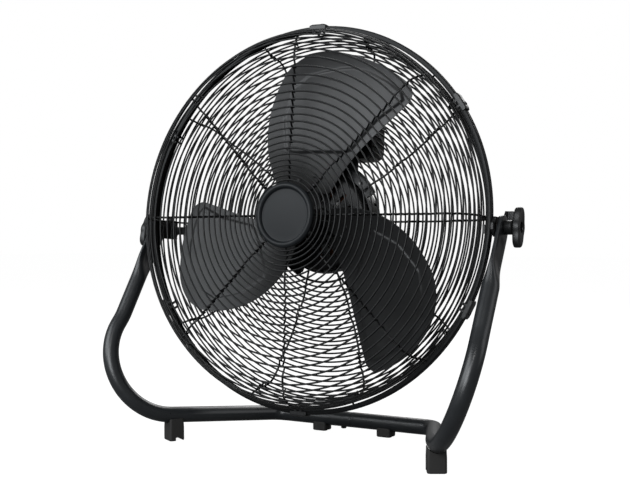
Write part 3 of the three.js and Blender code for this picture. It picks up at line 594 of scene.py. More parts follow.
def offset(path: Sequence[Vector], distance: float, closed: bool = True) -> list[Vector]:
    """Moves a path in the (u, v) plane to its left-hand side.

    Args:
        path: The path's points; counter-clockwise if it is closed.
        distance: How far it moves; a positive distance shrinks a closed path.
        closed: Whether the path closes on itself.

    Returns:
        The moved points.
    """
    count = len(path)
    moved: list[Vector] = []
    for i, point in enumerate(path):
        before = path[i - 1] if closed or i > 0 else None
        after = path[(i + 1) % count] if closed or i < count - 1 else None
        first = (point - before).normalized() if before is not None else (after - point).normalized()
        second = (after - point).normalized() if after is not None else first
        sides = [Vector((-way.y, way.x, 0)) for way in (first, second)]
        middle = (sides[0] + sides[1]).normalized()
        moved.append(point + middle * (distance / max(0.3, middle.dot(sides[0]))))
    return moved


def strip(path: Sequence[Vector], thickness: float) -> list[Vector]:
    """The outline of a strip of sheet metal along a path in the (u, v) plane."""
    return offset(path, thickness / 2, False) + offset(path, -thickness / 2, False)[::-1]


def rounded_box(half_width: float, low: float, high: float, corner: float) -> list[Vector]:
    """The outline of a box with round corners, counter-clockwise, centred on u = 0."""
    return rounded(flat((-half_width, low, corner), (half_width, low, corner),
                        (half_width, high, corner), (-half_width, high, corner)), closed=True)


def smooth(low: float, high: float, value: float) -> float:
    """A soft step from 0 at low to 1 at high."""
    share = min(1.0, max(0.0, (value - low) / (high - low)))
    return share * share * (3 - 2 * share)


def lerp(first: float, second: float, share: float) -> float:
    """The number that lies at a share of the way from the first to the second."""
    return first + (second - first) * share


# ------------------------------------------------------------------ meshes


class Draft:
    """A mesh in millimetres, on its way to becoming a piece."""

    def __init__(self) -> None:
        """Starts empty."""
        self.points: list[Vector] = []
        self.faces: list[list[int]] = []

    def add(self, points: Iterable[Vector], faces: Iterable[Sequence[int]]) -> "Draft":
        """Adds points, and faces over them."""
        base = len(self.points)
        self.points += [Vector(p) for p in points]
        self.faces += [[base + index for index in face] for face in faces]
        return self

    def merge(self, other: "Draft") -> "Draft":
        """Adds all of another draft."""
        return self.add(other.points, other.faces)

    def moved(self, matrix: Matrix) -> "Draft":
        """A copy that a matrix has moved."""
        return Draft().add([matrix @ point for point in self.points], self.faces)

    def loft(self, rows: Sequence[Sequence[Vector]], ends: bool = True, ring: bool = True,
             around: bool = False) -> "Draft":
        """Adds a skin over rows of equally many points.

        Args:
            rows: The rows, one after the other.
            ends: Whether the first and last rows are filled.
            ring: Whether each row closes on itself.
            around: Whether the last row leads back to the first.

        Returns:
            The draft.
        """
        width, count = len(rows[0]), len(rows)
        faces: list[list[int]] = []
        for j in range(count if around else count - 1):
            low, high = j * width, ((j + 1) % count) * width
            for i in range(width if ring else width - 1):
                k = (i + 1) % width
                faces.append([low + i, low + k, high + k, high + i])
        if ends and not around:
            faces.append(list(range(width - 1, -1, -1)))
            faces.append([(count - 1) * width + i for i in range(width)])
        return self.add([point for row in rows for point in row], faces)

    def lathe(self, profile: Sequence[tuple[float, float]] | Sequence[Vector], segments: int = 96,
              closed: bool = False) -> "Draft":
        """Adds a shape turned about the y axis.

        Args:
            profile: (radius, depth) points, from axis to axis, or a loop if closed.
            segments: Segments round the axis.
            closed: Whether the profile closes on itself.

        Returns:
            The draft.
        """
        rows = []
        for k in range(segments):
            angle = TURN * k / segments
            rows.append([Vector((p[0] * math.cos(angle), p[1], p[0] * math.sin(angle))) for p in profile])
        return self.loft(rows, ends=False, ring=closed, around=True)

    def prism(self, outline: Sequence[Vector], low: float, high: float) -> "Draft":
        """Adds an outline that is drawn out along its third axis, from low to high."""
        return self.loft([[p + Vector((0, 0, level)) for p in outline] for level in (low, high)])

    def block(self, low: Sequence[float], high: Sequence[float]) -> "Draft":
        """Adds a box between two corners."""
        outline = [Vector((u, v, 0)) for u, v in
                   ((low[0], low[1]), (high[0], low[1]), (high[0], high[1]), (low[0], high[1]))]
        return self.prism(outline, low[2], high[2])

    def mesh(self, name: str, place: Matrix) -> bpy.types.Mesh:
        """Makes the mesh, with doubles merged and faces turned outwards.

        Args:
            name: The mesh's name.
            place: From the draft's frame in millimetres to the object's frame in metres.

        Returns:
            The mesh.
        """
        made = bpy.data.meshes.new(name)
        made.from_pydata([place @ point for point in self.points], [], self.faces)
        work = bmesh.new()
        work.from_mesh(made)
        bmesh.ops.remove_doubles(work, verts=work.verts, dist=0.002 * MM)
        bmesh.ops.dissolve_degenerate(work, edges=work.edges, dist=0.0005 * MM)
        bmesh.ops.recalc_face_normals(work, faces=work.faces)
        work.to_mesh(made)
        work.free()
        return made


# Where the axes of an outline (u, v, w) or of a lattice go in the head or the stand.
FACING_Y = Matrix(((1, 0, 0, 0), (0, 0, 1, 0), (0, 1, 0, 0), (0, 0, 0, 1)))  # u, v, w to x, z, y
FACING_X = Matrix(((0, 0, 1, 0), (1, 0, 0, 0), (0, 1, 0, 0), (0, 0, 0, 1)))  # u, v, w to y, z, x
TURNED_TO_Y = Matrix.Rotation(-math.pi / 2, 4, "X")  # the third axis becomes the fan's axis
TURNED_TO_Z = Matrix.Rotation(math.pi / 2, 4, "X")  # a lathe's y axis becomes the third
REARWARD = Euler((-math.pi / 2, 0, 0))


def loop(steps: int, *points: Sequence[float]) -> list[Vector]:
    """A closed outline with rounded corners, from (u, v) or (u, v, radius) points."""
    return rounded(flat(*points), steps, closed=True)


def slab(outline: Sequence[Vector], low: float, high: float, facing: Matrix = FACING_Y) -> Draft:
    """A prism that stands across the fan's axis, or across the axis that facing says."""
    return Draft().prism(outline, low, high).moved(facing)


def turned(segments: int, steps: int, *points: Sequence[float]) -> Draft:
    """A lathed shape with rounded corners, from (radius, depth) or (radius, depth, rounding) points."""
    return Draft().lathe(rounded(flat(*points), steps), segments)


def hole(radius: float, sides: int, at: Sequence[float], low: float, high: float,
         facing: Matrix = FACING_Y) -> Draft:
    """A round bar that cuts a hole at a place across the fan's axis, or across another axis."""
    return slab(circle(radius, sides, *at), low, high, facing)


class Frames:
    """The frames that pieces are drawn in, as matrices to the object's frame in metres."""

    joints = {joint["name"]: joint for joint in frame["joints"]}
    axis = Vector(joints["fan_spin"]["axis"]).normalized()
    centre = Vector(joints["fan_spin"]["pos_m"])
    pivot = Vector(joints["head_tilt"]["pos_m"])
    tilt = math.atan2(-axis.z, axis.y)
    head = Matrix.Translation(centre) @ Matrix.Rotation(-tilt, 4, "X") @ Matrix.Scale(MM, 4)
    stand = Matrix.Scale(MM, 4)
    pivot_in_head = head.inverted() @ pivot


def carrier(name: str, mesh: bpy.types.Mesh) -> bpy.types.Object:
    """An object that holds a mesh and stands at the origin."""
    made = bpy.data.objects.new(name, mesh)
    bpy.context.scene.collection.objects.link(made)
    return made


def settled(thing: bpy.types.Object) -> bpy.types.Object:
    """Replaces an object's mesh by the plain mesh that its modifiers give, and removes them."""
    graph = bpy.context.evaluated_depsgraph_get()
    result = bpy.data.meshes.new_from_object(thing.evaluated_get(graph), depsgraph=graph)
    thing.modifiers.clear()
    old, thing.data = thing.data, result
    bpy.data.meshes.remove(old)
    return thing


def carved(thing: bpy.types.Object, tools: Iterable[Draft | bpy.types.Object], place: Matrix,
           operation: str = "DIFFERENCE") -> bpy.types.Object:
    """Cuts tools out of an object, or joins them to it, and removes them.

    Args:
        thing: The object.
        tools: What is cut or joined: objects, or drafts in the same frame.
        place: That frame.
        operation: The Boolean operation.

    Returns:
        The object, with its new mesh.
    """
    helpers = []
    for tool in tools:
        helper = carrier("helper", tool.mesh("helper", place)) if isinstance(tool, Draft) else tool
        cutter = thing.modifiers.new("carve", "BOOLEAN")
        cutter.operation = operation
        cutter.solver = "EXACT"
        cutter.object = helper
        helpers.append(helper)
    settled(thing)
    for helper in helpers:
        bpy.data.objects.remove(helper)
    return thing


def eased(thing: bpy.types.Object, bevel: float, angle: float = 35.0) -> bpy.types.Object:
    """Rounds the sharp edges and smooths the shading.

    Args:
        thing: The object.
        bevel: Width of the rounding in millimetres; 0 leaves the edges.
        angle: Edges that turn by more degrees than this count as sharp.

    Returns:
        The object.
    """
    if bevel > 0:
        rounding = thing.modifiers.new("rounding", "BEVEL")
        rounding.width = bevel * MM
        rounding.segments = 2
        rounding.limit_method = "ANGLE"
        rounding.angle_limit = math.radians(angle)
        settled(thing)
    for polygon in thing.data.polygons:
        polygon.use_smooth = True
    thing.data.set_sharp_from_angle(angle=math.radians(angle + 12))
    if bevel > 0:
        weighted = thing.modifiers.new("weighted", "WEIGHTED_NORMAL")
        weighted.keep_sharp = True
        settled(thing)
    return thing


@dataclass(frozen=True)
class Look:
    """What a piece is dressed in, and what it rides on."""

    finish: Finish
    slot: Slot
    body: Body


def hand_over(thing: bpy.types.Object, look: Look, *nodes: str) -> bpy.types.Object:
    """Dresses a finished object and gives it to the frame.

    Args:
        thing: The object, in place.
        look: Its finish, slot and body.
        *nodes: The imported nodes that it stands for.

    Returns:
        The object.
    """
    if not thing.data.materials:
        thing.data.materials.append(look.finish.material())
    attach(thing, look.body.value)
    if nodes:
        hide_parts(*nodes)
    LOG.info("%s: %d faces on %s", thing.name, len(thing.data.polygons), look.body.value)
    return thing


def made(name: str, draft: Draft, place: Matrix, look: Look, *nodes: str, bevel: float = 0.0,
         angle: float = 35.0, cuts: Sequence[Draft] = ()) -> bpy.types.Object:
    """Makes a piece from a draft.

    Args:
        name: The piece's name.
        draft: Its shape.
        place: The frame that it is drawn in.
        look: Its finish, slot and body.
        *nodes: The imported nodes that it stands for.
        bevel: Width of its rounded edges in millimetres.
        angle: Edges that turn by more degrees than this count as sharp.
        cuts: What is cut out of it first.

    Returns:
        The piece.
    """
    thing = carrier(name, draft.mesh(name, place))
    if cuts:
        carved(thing, cuts, place)
    return hand_over(eased(thing, bevel, angle), look, *nodes)


# ------------------------------------------------------------------ trees that repeat things


class GrowthGraph(NodeGraph):
    """A Geometry Nodes tree with named inputs."""

    def __init__(self, name: str) -> None:
        """Makes the tree with its geometry in and out, and an input for the finish."""
        super().__init__(bpy.data.node_groups.new(name, "GeometryNodeTree"))
        self.tree.interface.new_socket("Geometry", in_out="INPUT", socket_type="NodeSocketGeometry")
        self.tree.interface.new_socket("Geometry", in_out="OUTPUT", socket_type="NodeSocketGeometry")
        self.entry = self.tree.nodes.new("NodeGroupInput")
        self.material = self.wanted("Finish", "NodeSocketMaterial")

    def wanted(self, name: str, kind: str, default: Any = None) -> bpy.types.NodeSocket:
        """Adds a named input.

        Args:
            name: The input's name.
            kind: Its socket type.
            default: Its default value.

        Returns:
            The socket that gives it.
        """
        socket = self.tree.interface.new_socket(name, in_out="INPUT", socket_type=kind)
        if default is not None:
            socket.default_value = default
        return self.entry.outputs[name]

    @property
    def geometry(self) -> bpy.types.NodeSocket:
        """What the tree is given."""
        return self.entry.outputs["Geometry"]

    def attribute(self, name: str, kind: str) -> bpy.types.NodeSocket:
        """A named attribute of the points."""
        made_node = self.node("GeometryNodeInputNamedAttribute", {"data_type": kind}, {"Name": name})
        return made_node.outputs["Attribute"]

    def round_wire(self, curve: bpy.types.NodeSocket, radius: Any, sides: Any) -> bpy.types.NodeSocket:
        """A round wire along a curve.

        Args:
            curve: The curve.
            radius: The wire's radius in metres.
            sides: Sides of its section.

        Returns:
            The wire's mesh.
        """
        section = self.node("GeometryNodeCurvePrimitiveCircle", {"mode": "RADIUS"},
                            {"Resolution": sides, "Radius": 1.0})
        wire = self.node("GeometryNodeCurveToMesh", inputs={
            "Curve": curve, "Profile Curve": section.outputs["Curve"], "Scale": radius, "Fill Caps": True})
        return wire.outputs["Mesh"]

    def around(self, count: Any, instance: bpy.types.NodeSocket) -> bpy.types.NodeSocket:
        """Copies of a geometry, turned in equal steps about the third axis.

        Args:
            count: How many copies go round.
            instance: What is copied.

        Returns:
            The instances.
        """
        points = self.node("GeometryNodePoints", inputs={"Count": count})
        index = self.number(self.node("GeometryNodeInputIndex"), "Index")
        angle = index * TURN / Number(self, count)
        spin = self.node("ShaderNodeCombineXYZ", inputs={"Z": angle})
        spun = self.node("FunctionNodeEulerToRotation", inputs={"Euler": spin.outputs["Vector"]})
        placed = self.node("GeometryNodeInstanceOnPoints", inputs={
            "Points": points.outputs[0], "Instance": instance, "Rotation": spun.outputs["Rotation"]})
        return placed.outputs["Instances"]

    def finish(self, *parts: bpy.types.NodeSocket) -> bpy.types.NodeTree:
        """Joins the parts, realizes them and dresses them.

        Args:
            *parts: The geometries that make up the result.

        Returns:
            The finished tree.
        """
        joined = self.node("GeometryNodeJoinGeometry")
        for part in parts:
            self.tree.links.new(part, joined.inputs["Geometry"])
        real = self.node("GeometryNodeRealizeInstances", inputs={"Geometry": joined.outputs["Geometry"]})
        dressed = self.node("GeometryNodeSetMaterial", inputs={"Geometry": real.outputs["Geometry"],
                                                               "Material": self.material})
        end = self.tree.nodes.new("NodeGroupOutput")
        self.tree.links.new(dressed.outputs["Geometry"], end.inputs["Geometry"])
        return self.tree


@cache
def lattice_tree() -> bpy.types.NodeTree:
    """Wire rings at the points with a "reach" and a "wire", and spokes from the edges, round an axis."""
    graph = GrowthGraph("wire_lattice")
    spoke_wire = graph.wanted("Spoke Wire", "NodeSocketFloat", 0.0015)
    spokes = graph.wanted("Spokes", "NodeSocketInt", 8)
    steps = graph.wanted("Ring Steps", "NodeSocketInt", 96)
    sides = graph.wanted("Sides", "NodeSocketInt", 8)
    parted = graph.node("GeometryNodeSeparateGeometry", {"domain": "POINT"},
                        {"Geometry": graph.geometry, "Selection": graph.attribute("ring", "BOOLEAN")})
    reach = graph.attribute("reach", "FLOAT")
    size = graph.node("ShaderNodeCombineXYZ", inputs={"X": reach, "Y": reach, "Z": 1.0})
    hoop = graph.node("GeometryNodeCurvePrimitiveCircle", {"mode": "RADIUS"},
                      {"Resolution": steps, "Radius": 1.0})
    rings = graph.node("GeometryNodeInstanceOnPoints", inputs={
        "Points": parted.outputs["Selection"], "Instance": hoop.outputs["Curve"],
        "Scale": size.outputs["Vector"]})
    real_rings = graph.node("GeometryNodeRealizeInstances", inputs={"Geometry": rings.outputs[0]})
    line = graph.node("GeometryNodeMeshToCurve", inputs={"Mesh": parted.outputs["Inverted"]})
    bars = graph.around(spokes, line.outputs["Curve"])
    real_bars = graph.node("GeometryNodeRealizeInstances", inputs={"Geometry": bars})
    return graph.finish(
        graph.round_wire(real_rings.outputs[0], graph.attribute("wire", "FLOAT"), sides),
        graph.round_wire(real_bars.outputs[0], spoke_wire, sides),
    )


@cache
def copies_tree() -> bpy.types.NodeTree:
    """Copies of a shape in equal steps round the third axis."""
    graph = GrowthGraph("copies_around")
    count = graph.wanted("Count", "NodeSocketInt", 12)
    return graph.finish(graph.around(count, graph.geometry))


@cache
def fasteners_tree() -> bpy.types.NodeTree:
    """One template at each point, turned by the point's "facing" and spun a little at random."""
    graph = GrowthGraph("fasteners")
    template = graph.wanted("Template", "NodeSocketObject")
    spread = graph.wanted("Random Spin", "NodeSocketFloat", 0.0)
    seed = graph.wanted("Seed", "NodeSocketInt", 7)
    info = graph.node("GeometryNodeObjectInfo", {"transform_space": "ORIGINAL"}, {"Object": template})
    facing = graph.attribute("facing", "FLOAT_VECTOR")
    aimed = graph.node("FunctionNodeEulerToRotation", inputs={"Euler": facing})
    chance = graph.node("FunctionNodeRandomValue", {"data_type": "FLOAT"},
                        {"Min_001": 0.0, "Max_001": spread, "Seed": seed})
    spin = graph.node("ShaderNodeCombineXYZ", inputs={"Z": graph.number(chance, "Value_001")})
    spun = graph.node("FunctionNodeEulerToRotation", inputs={"Euler": spin.outputs["Vector"]})
    both = graph.node("FunctionNodeRotateRotation", {"rotation_space": "LOCAL"},
                      {"Rotation": aimed.outputs["Rotation"], "Rotate By": spun.outputs["Rotation"]})
    placed = graph.node("GeometryNodeInstanceOnPoints", inputs={
        "Points": graph.geometry, "Instance": info.outputs["Geometry"], "Rotation": both.outputs["Rotation"]})
    return graph.finish(placed.outputs["Instances"])


def grow(name: str, host: bpy.types.Mesh, tree: bpy.types.NodeTree, finish: Finish,
         **sizes: Any) -> bpy.types.Object:
    """Runs a tree over a host mesh and keeps the plain result.

    Args:
        name: The object's name.
        host: What the tree starts from.
        tree: The tree.
        finish: The finish that the tree sets.
        **sizes: The tree's inputs; an underscore in a name stands for a space.

    Returns:
        The object, with its mesh in metres.
    """
    thing = carrier(name, host)
    growth = thing.modifiers.new("growth", "NODES")
    growth.node_group = tree
    values = {key.replace("_", " "): value for key, value in sizes.items()}
    values["Finish"] = finish.material()
    for item in tree.interface.items_tree:
        if item.item_type == "SOCKET" and item.in_out == "INPUT" and item.name in values:
            growth[item.identifier] = values[item.name]
    return settled(thing)


def grown(name: str, host: bpy.types.Mesh, tree: bpy.types.NodeTree, look: Look, *nodes: str,
          place: Matrix, angle: float = 40.0, **sizes: Any) -> bpy.types.Object:
    """Runs a tree over a host mesh and hands the result over as a piece.

    Args:
        name: The piece's name.
        host: What the tree starts from, in metres.
        tree: The tree.
        look: The piece's finish, slot and body.
        *nodes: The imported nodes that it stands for.
        place: The frame in millimetres that the host is drawn in.
        angle: Edges that turn by more degrees than this are shaded sharp.
        **sizes: The tree's inputs; an underscore in a name stands for a space.

    Returns:
        The piece.
    """
    thing = grow(name, host, tree, look.finish, **sizes)
    thing.data.transform(place @ Matrix.Scale(1 / MM, 4))
    return hand_over(eased(thing, 0.0, angle=angle), look, *nodes)


def fastened(name: str, template: Draft, spots: Sequence[tuple[Vector, Euler]], look: Look, *nodes: str,
             place: Matrix, bevel: float = 0.0, cuts: Sequence[Draft] = (), spin: float = 0.0,
             seed: int = 7) -> bpy.types.Object:
    """Puts one copy of a template at each spot, as one piece.

    Args:
        name: The piece's name.
        template: The copied shape, standing on its origin and facing along its third axis.
        spots: The places, each with the turn of its copy.
        look: The piece's finish, slot and body.
        *nodes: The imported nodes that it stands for.
        place: The frame that the spots are given in.
        bevel: Width of the template's rounded edges in millimetres.
        cuts: What is cut out of the template first.
        spin: The most radians by which a copy is spun at random about its own axis.
        seed: The seed of that spin.

    Returns:
        The piece.
    """
    sample = carrier(f"{name}_template", template.mesh(f"{name}_template", Frames.stand))
    if cuts:
        carved(sample, cuts, Frames.stand)
    eased(sample, bevel)
    piece = grown(name, points_mesh(name, spots), fasteners_tree(), look, *nodes, place=place,
                  Template=sample, Random_Spin=spin, Seed=seed)
    bpy.data.objects.remove(sample)
    return piece


def points_mesh(name: str, spots: Sequence[tuple[Vector, Euler]]) -> bpy.types.Mesh:
    """A mesh of loose points in metres, each with the turn that its copy gets.

    Args:
        name: The mesh's name.
        spots: The points in millimetres and their turns.

    Returns:
        The mesh.
    """
    mesh = bpy.data.meshes.new(name)
    mesh.from_pydata([spot * MM for spot, _ in spots], [], [])
    facing = mesh.attributes.new("facing", "FLOAT_VECTOR", "POINT")
    for entry, (_, turn) in zip(facing.data, spots):
        entry.vector = turn[:]
    return mesh


def dress(finish: Finish, *nodes: str) -> None:
    """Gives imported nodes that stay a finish.

    Args:
        finish: The finish.
        *nodes: The nodes' names.
    """
    for name in nodes:
        node = frame["nodes"][name]
        if not node.material_slots:
            node.data.materials.append(None)
        for slot in node.material_slots:
            slot.material = finish.material()
        LOG.info("%s: packed node, dressed in %s", name, finish.name)


# ------------------------------------------------------------------ fasteners that many pieces use


def pan_head(radius: float, height: float) -> Draft:
    """A pan head that stands on its origin and faces along its third axis."""
    rim, crown = (radius, height, height * 0.6), (0, height * 1.08)
    return turned(28, 5, (0, 0), (radius, 0), rim, crown).moved(TURNED_TO_Z)


def cross_recess(radius: float, height: float) -> list[Draft]:
    """The two slots of a cross recess in a head of that radius and height."""
    long, slim = radius * 0.62, radius * 0.14
    return [Draft().block((-a, -b, height * 0.45), (a, b, height * 1.4))
            for a, b in ((long, slim), (slim, long))]


# ------------------------------------------------------------------ the rim and its clips


@dataclass(frozen=True)
class GuardRim:
    """The rolled channel that holds both guards, and the folded clips on it."""

    outer: float = 275.0
    half_depth: float = 5.2
    flange: float = 7.0
    wall: float = 1.1
    groove: float = 0.7
    groove_half: float = 1.7
    segments: int = 192
    clips: tuple[float, ...] = (88, 33.5, -26, -90, -151, 152)
    clip_width: float = 26.0
    clip_sheet: float = 1.5
    clip_reach: float = 11.0
    clip_gap: float = 0.3
    clip_rise: float = 1.0
    prong: float = 4.2
    prong_half: float = 1.75
    prong_root: float = -4.2
    screw_place: float = 4.5

    def build(self) -> None:
        """Builds the channel and the clips."""
        self.channel()
        self.clip_row()

    def channel(self) -> None:
        """Turns the channel, with the shallow groove of its rolled outside."""
        far, near, lip = self.outer, self.outer - self.groove, self.outer - self.flange
        half, inside, web = self.half_depth, self.half_depth - self.wall, self.outer - self.wall
        g = self.groove_half
        profile = loop(
            5, (far, -half, 1.9), (far, -g - 1.4, 1.2), (near, -g, 1.2), (near, g, 1.2), (far, g + 1.4, 1.2),
            (far, half, 1.9), (lip, half, 0.7), (lip, inside, 0.7), (web - 0.6, inside, 0.8),
            (web - 0.6, -inside, 0.8), (lip, -inside, 0.7), (lip, -half, 0.7))
        look = Look(Finishes.rim, Slot.FRAME, Body.HEAD)
        made("guard_rim_channel", Draft().lathe(profile, self.segments, closed=True), Frames.head, look,
             "guard_rim", angle=50)

    def clip_section(self, along: float) -> list[Vector]:
        """The folded strap's outline, which stands off the rim except near its two ends.

        Args:
            along: The place along the rim, counted from the clip's middle.

        Returns:
            The outline, outwards and towards the rear.
        """
        half = self.half_depth + self.clip_gap + self.clip_sheet / 2
        rise = self.clip_rise * smooth(self.clip_width / 2, self.clip_width / 2 - 4.0, abs(along))
        high = self.clip_gap + self.clip_sheet / 2 + rise
        low = self.clip_gap - self.clip_reach
        path = rounded(flat((low - 1.2, -half + 1.1), (low, -half, 1.5), (high, -half, 1.9),
                            (high, half, 1.9), (low, half, 1.5), (low - 1.2, half - 1.1)), 6)
        return [Vector((along, point.y, point.x)) for point in strip(path, self.clip_sheet)]

    def clip_row(self) -> None:
        """Folds one clip with its screw and prongs, and sets six of them round the rim."""
        width = self.clip_width / 2
        steps = (-width, -width + 0.3, -width + 1.3, -width + 2.6, -width + 4.0)
        places = (*steps, *(-step for step in reversed(steps)))
        clip = Draft().loft([self.clip_section(place) for place in places])
        edges = (-width - 1, -self.prong - self.prong_half, -self.prong + self.prong_half,
                 self.prong - self.prong_half, self.prong + self.prong_half, width + 1)
        cuts = [Draft().block((low, -20, -20), (high, 20, self.prong_root))
                for low, high in zip(edges[::2], edges[1::2])]
        spots, screws = [], []
        top = self.outer + self.clip_gap + self.clip_rise + self.clip_sheet
        for degrees in self.clips:
            angle = math.radians(degrees)
            away = Vector((math.cos(angle), 0, math.sin(angle)))
            aside = Vector((math.sin(angle), 0, -math.cos(angle)))
            turn = Euler((0, math.pi / 2 - angle, 0))
            spots.append((away * self.outer, turn))
            screws.append((away * (top - 0.1) + aside * self.screw_place, turn))
        nodes = [f"guard_clip_{number + 1}" for number in range(len(self.clips))]
        fastened("guard_clips", clip, spots, Look(Finishes.sheet, Slot.FRAME, Body.HEAD), *nodes,
                 place=Frames.head, bevel=0.3, cuts=cuts)
        fastened("clip_screws", pan_head(2.4, 1.3), screws, Look(Finishes.dark_steel, Slot.STEEL, Body.HEAD),
                 place=Frames.head, cuts=cross_recess(2.4, 1.3), spin=1.5, seed=7)


# ------------------------------------------------------------------ the wire guards


@dataclass(frozen=True)
class WireGuard:
    """A guard of wire rings on bent spokes.

    The profile holds (reach, bulge, radius) corners from the hub out. The rings are stepped along
    it by a pitch that changes evenly between the (ring, pitch) pairs of pitches.
    """

    name: str
    facing: int
    profile: tuple[tuple[float, ...], ...]
    pitches: tuple[tuple[int, float], ...]
    spokes: int
    spoke_start: float
    first_spoke: float
    hub_wire: float = 1.7
    ring_wire: float = 1.3
    spoke_wire: float = 1.5
    hoop_wire: float = 1.8
    hoop: tuple[float, float] = (271.0, 2.05)
    side_reach: float = 266.6
    steps: int = 128
    sides: int = 8

    def pitch(self, ring: int) -> float:
        """The step that leads to a ring, read between the pitches before and after it."""
        for (first, pitch), (last, following) in zip(self.pitches, self.pitches[1:]):
            if ring <= last:
                return lerp(pitch, following, (ring - first) / (last - first))
        return self.pitches[-1][1]

    @property
    def rings(self) -> list[tuple[float, float]]:
        """The (reach, depth) pairs of the rings, from the hub out."""
        path = rounded(flat(*self.profile), 28)
        along = lengths(path)
        places = [0.0]
        for ring in range(1, self.pitches[-1][0] + 1):
            places.append(places[-1] + self.pitch(ring))
        spots = [at_length(path, along, place) for place in places]
        return [(spot.x, self.facing * spot.y) for spot in spots]

    def build(self) -> None:
        """Lays out the rings and one spoke, and grows the guard from them."""
        rings = [(*self.rings[0], self.hub_wire)] + [(*ring, self.ring_wire) for ring in self.rings[1:]]
        rings.append((self.hoop[0], self.facing * self.hoop[1], self.hoop_wire))
        mesh = self.host(rings, self.spoke_line())
        grown(self.name, mesh, lattice_tree(), Look(Finishes.wire, Slot.WIRE, Body.HEAD),
              self.name.replace("_wires", ""), place=Frames.head @ TURNED_TO_Y, angle=60,
              Spokes=self.spokes, Spoke_Wire=self.spoke_wire * MM, Ring_Steps=self.steps, Sides=self.sides)

    def spoke_line(self) -> list[Vector]:
        """The line of one spoke, inside the rings, as (reach, depth) points from the hub to the hoop."""
        inwards = self.ring_wire + self.spoke_wire - 0.25
        limit = self.side_reach - self.spoke_wire
        end = Corner(Vector((limit + inwards, self.facing * self.hoop[1], 0)))
        path = rounded([Corner(Vector((*ring, 0)), 9.0) for ring in self.rings] + [end], 3)
        inside = offset(path, -self.facing * inwards, False)
        line = [Vector((min(point.x, limit), point.y, 0)) for point in inside]
        line[0] = Vector((self.spoke_start, line[0].y, 0))
        return line + [Vector((self.hoop[0] - 1.5, self.facing * self.hoop[1], 0))]

    def host(self, rings: Sequence[tuple[float, float, float]], spoke: Sequence[Vector]) -> bpy.types.Mesh:
        """The points and the line that the lattice grows from.

        Args:
            rings: (reach, depth, wire radius) of each ring.
            spoke: The line of one spoke.

        Returns:
            The mesh, in metres, with the fan's axis as its third axis.
        """
        angle = math.radians(self.first_spoke)
        away = Vector((math.cos(angle), -math.sin(angle), 0))
        spots = [Vector((0, 0, depth)) * MM for _, depth, _ in rings]
        line = [(away * point.x + Vector((0, 0, point.y))) * MM for point in spoke]
        base = len(spots)
        mesh = bpy.data.meshes.new(self.name)
        mesh.from_pydata(spots + line, [(base + k, base + k + 1) for k in range(len(line) - 1)], [])
        mesh.attributes.new("ring", "BOOLEAN", "POINT").data.foreach_set(
            "value", [True] * base + [False] * len(line))
        rest = [0.0] * len(line)
        mesh.attributes.new("reach", "FLOAT", "POINT").data.foreach_set(
            "value", [reach * MM for reach, _, _ in rings] + rest)
        mesh.attributes.new("wire", "FLOAT", "POINT").data.foreach_set(
            "value", [radius * MM for _, _, radius in rings] + rest)
        return mesh


# ------------------------------------------------------------------ the front cap


@dataclass(frozen=True)
class FrontCap:
    """The round cap in the middle of the front guard, and the plate that clamps it."""

    radius: float = 45.0
    disc: float = 36.6
    front: float = -65.5
    sunk: float = 4.2
    rear: float = -59.0
    plate: float = 34.0
    plate_rear: float = -56.7
    screw_place: float = 20.0

    def build(self) -> None:
        """Turns the cap and the plate, and sets the two screws."""
        front, disc, ledge = self.front, self.disc, self.front + self.sunk
        cover = turned(
            144, 7, (0, ledge - 0.5), (disc - 8, ledge - 0.35), (disc, ledge, 1.2),
            (disc + 0.7, front + 1.8, 1.6), (disc + 2.6, front, 2.4), (disc + 5.4, front, 2.6),
            (self.radius, front + 2.4, 3.0), (self.radius, self.rear, 0.5), (0, self.rear))
        made("front_cap_cover", cover, Frames.head, Look(Finishes.cap, Slot.CAP, Body.HEAD), "front_cap",
             angle=60)
        top, back = self.rear + 0.3, self.plate_rear
        plate = turned(96, 4, (0, top), (self.plate, top, 0.6), (self.plate, back, 0.6),
                       (self.plate - 5, back, 0.8), (self.plate - 6, back - 0.6, 0.8), (0, back - 0.6))
        made("cap_plate", plate, Frames.head, Look(Finishes.plastic, Slot.PLASTIC, Body.HEAD),
             "cap_clamp_plate", angle=40)
        spots = [(Vector((x, back - 0.8, 0)), REARWARD) for x in (-self.screw_place, self.screw_place)]
        fastened("cap_screws", pan_head(3.2, 1.7), spots, Look(Finishes.dark_steel, Slot.STEEL, Body.HEAD),
                 place=Frames.head, cuts=cross_recess(3.2, 1.7), spin=1.2, seed=3)


# ------------------------------------------------------------------ the motor


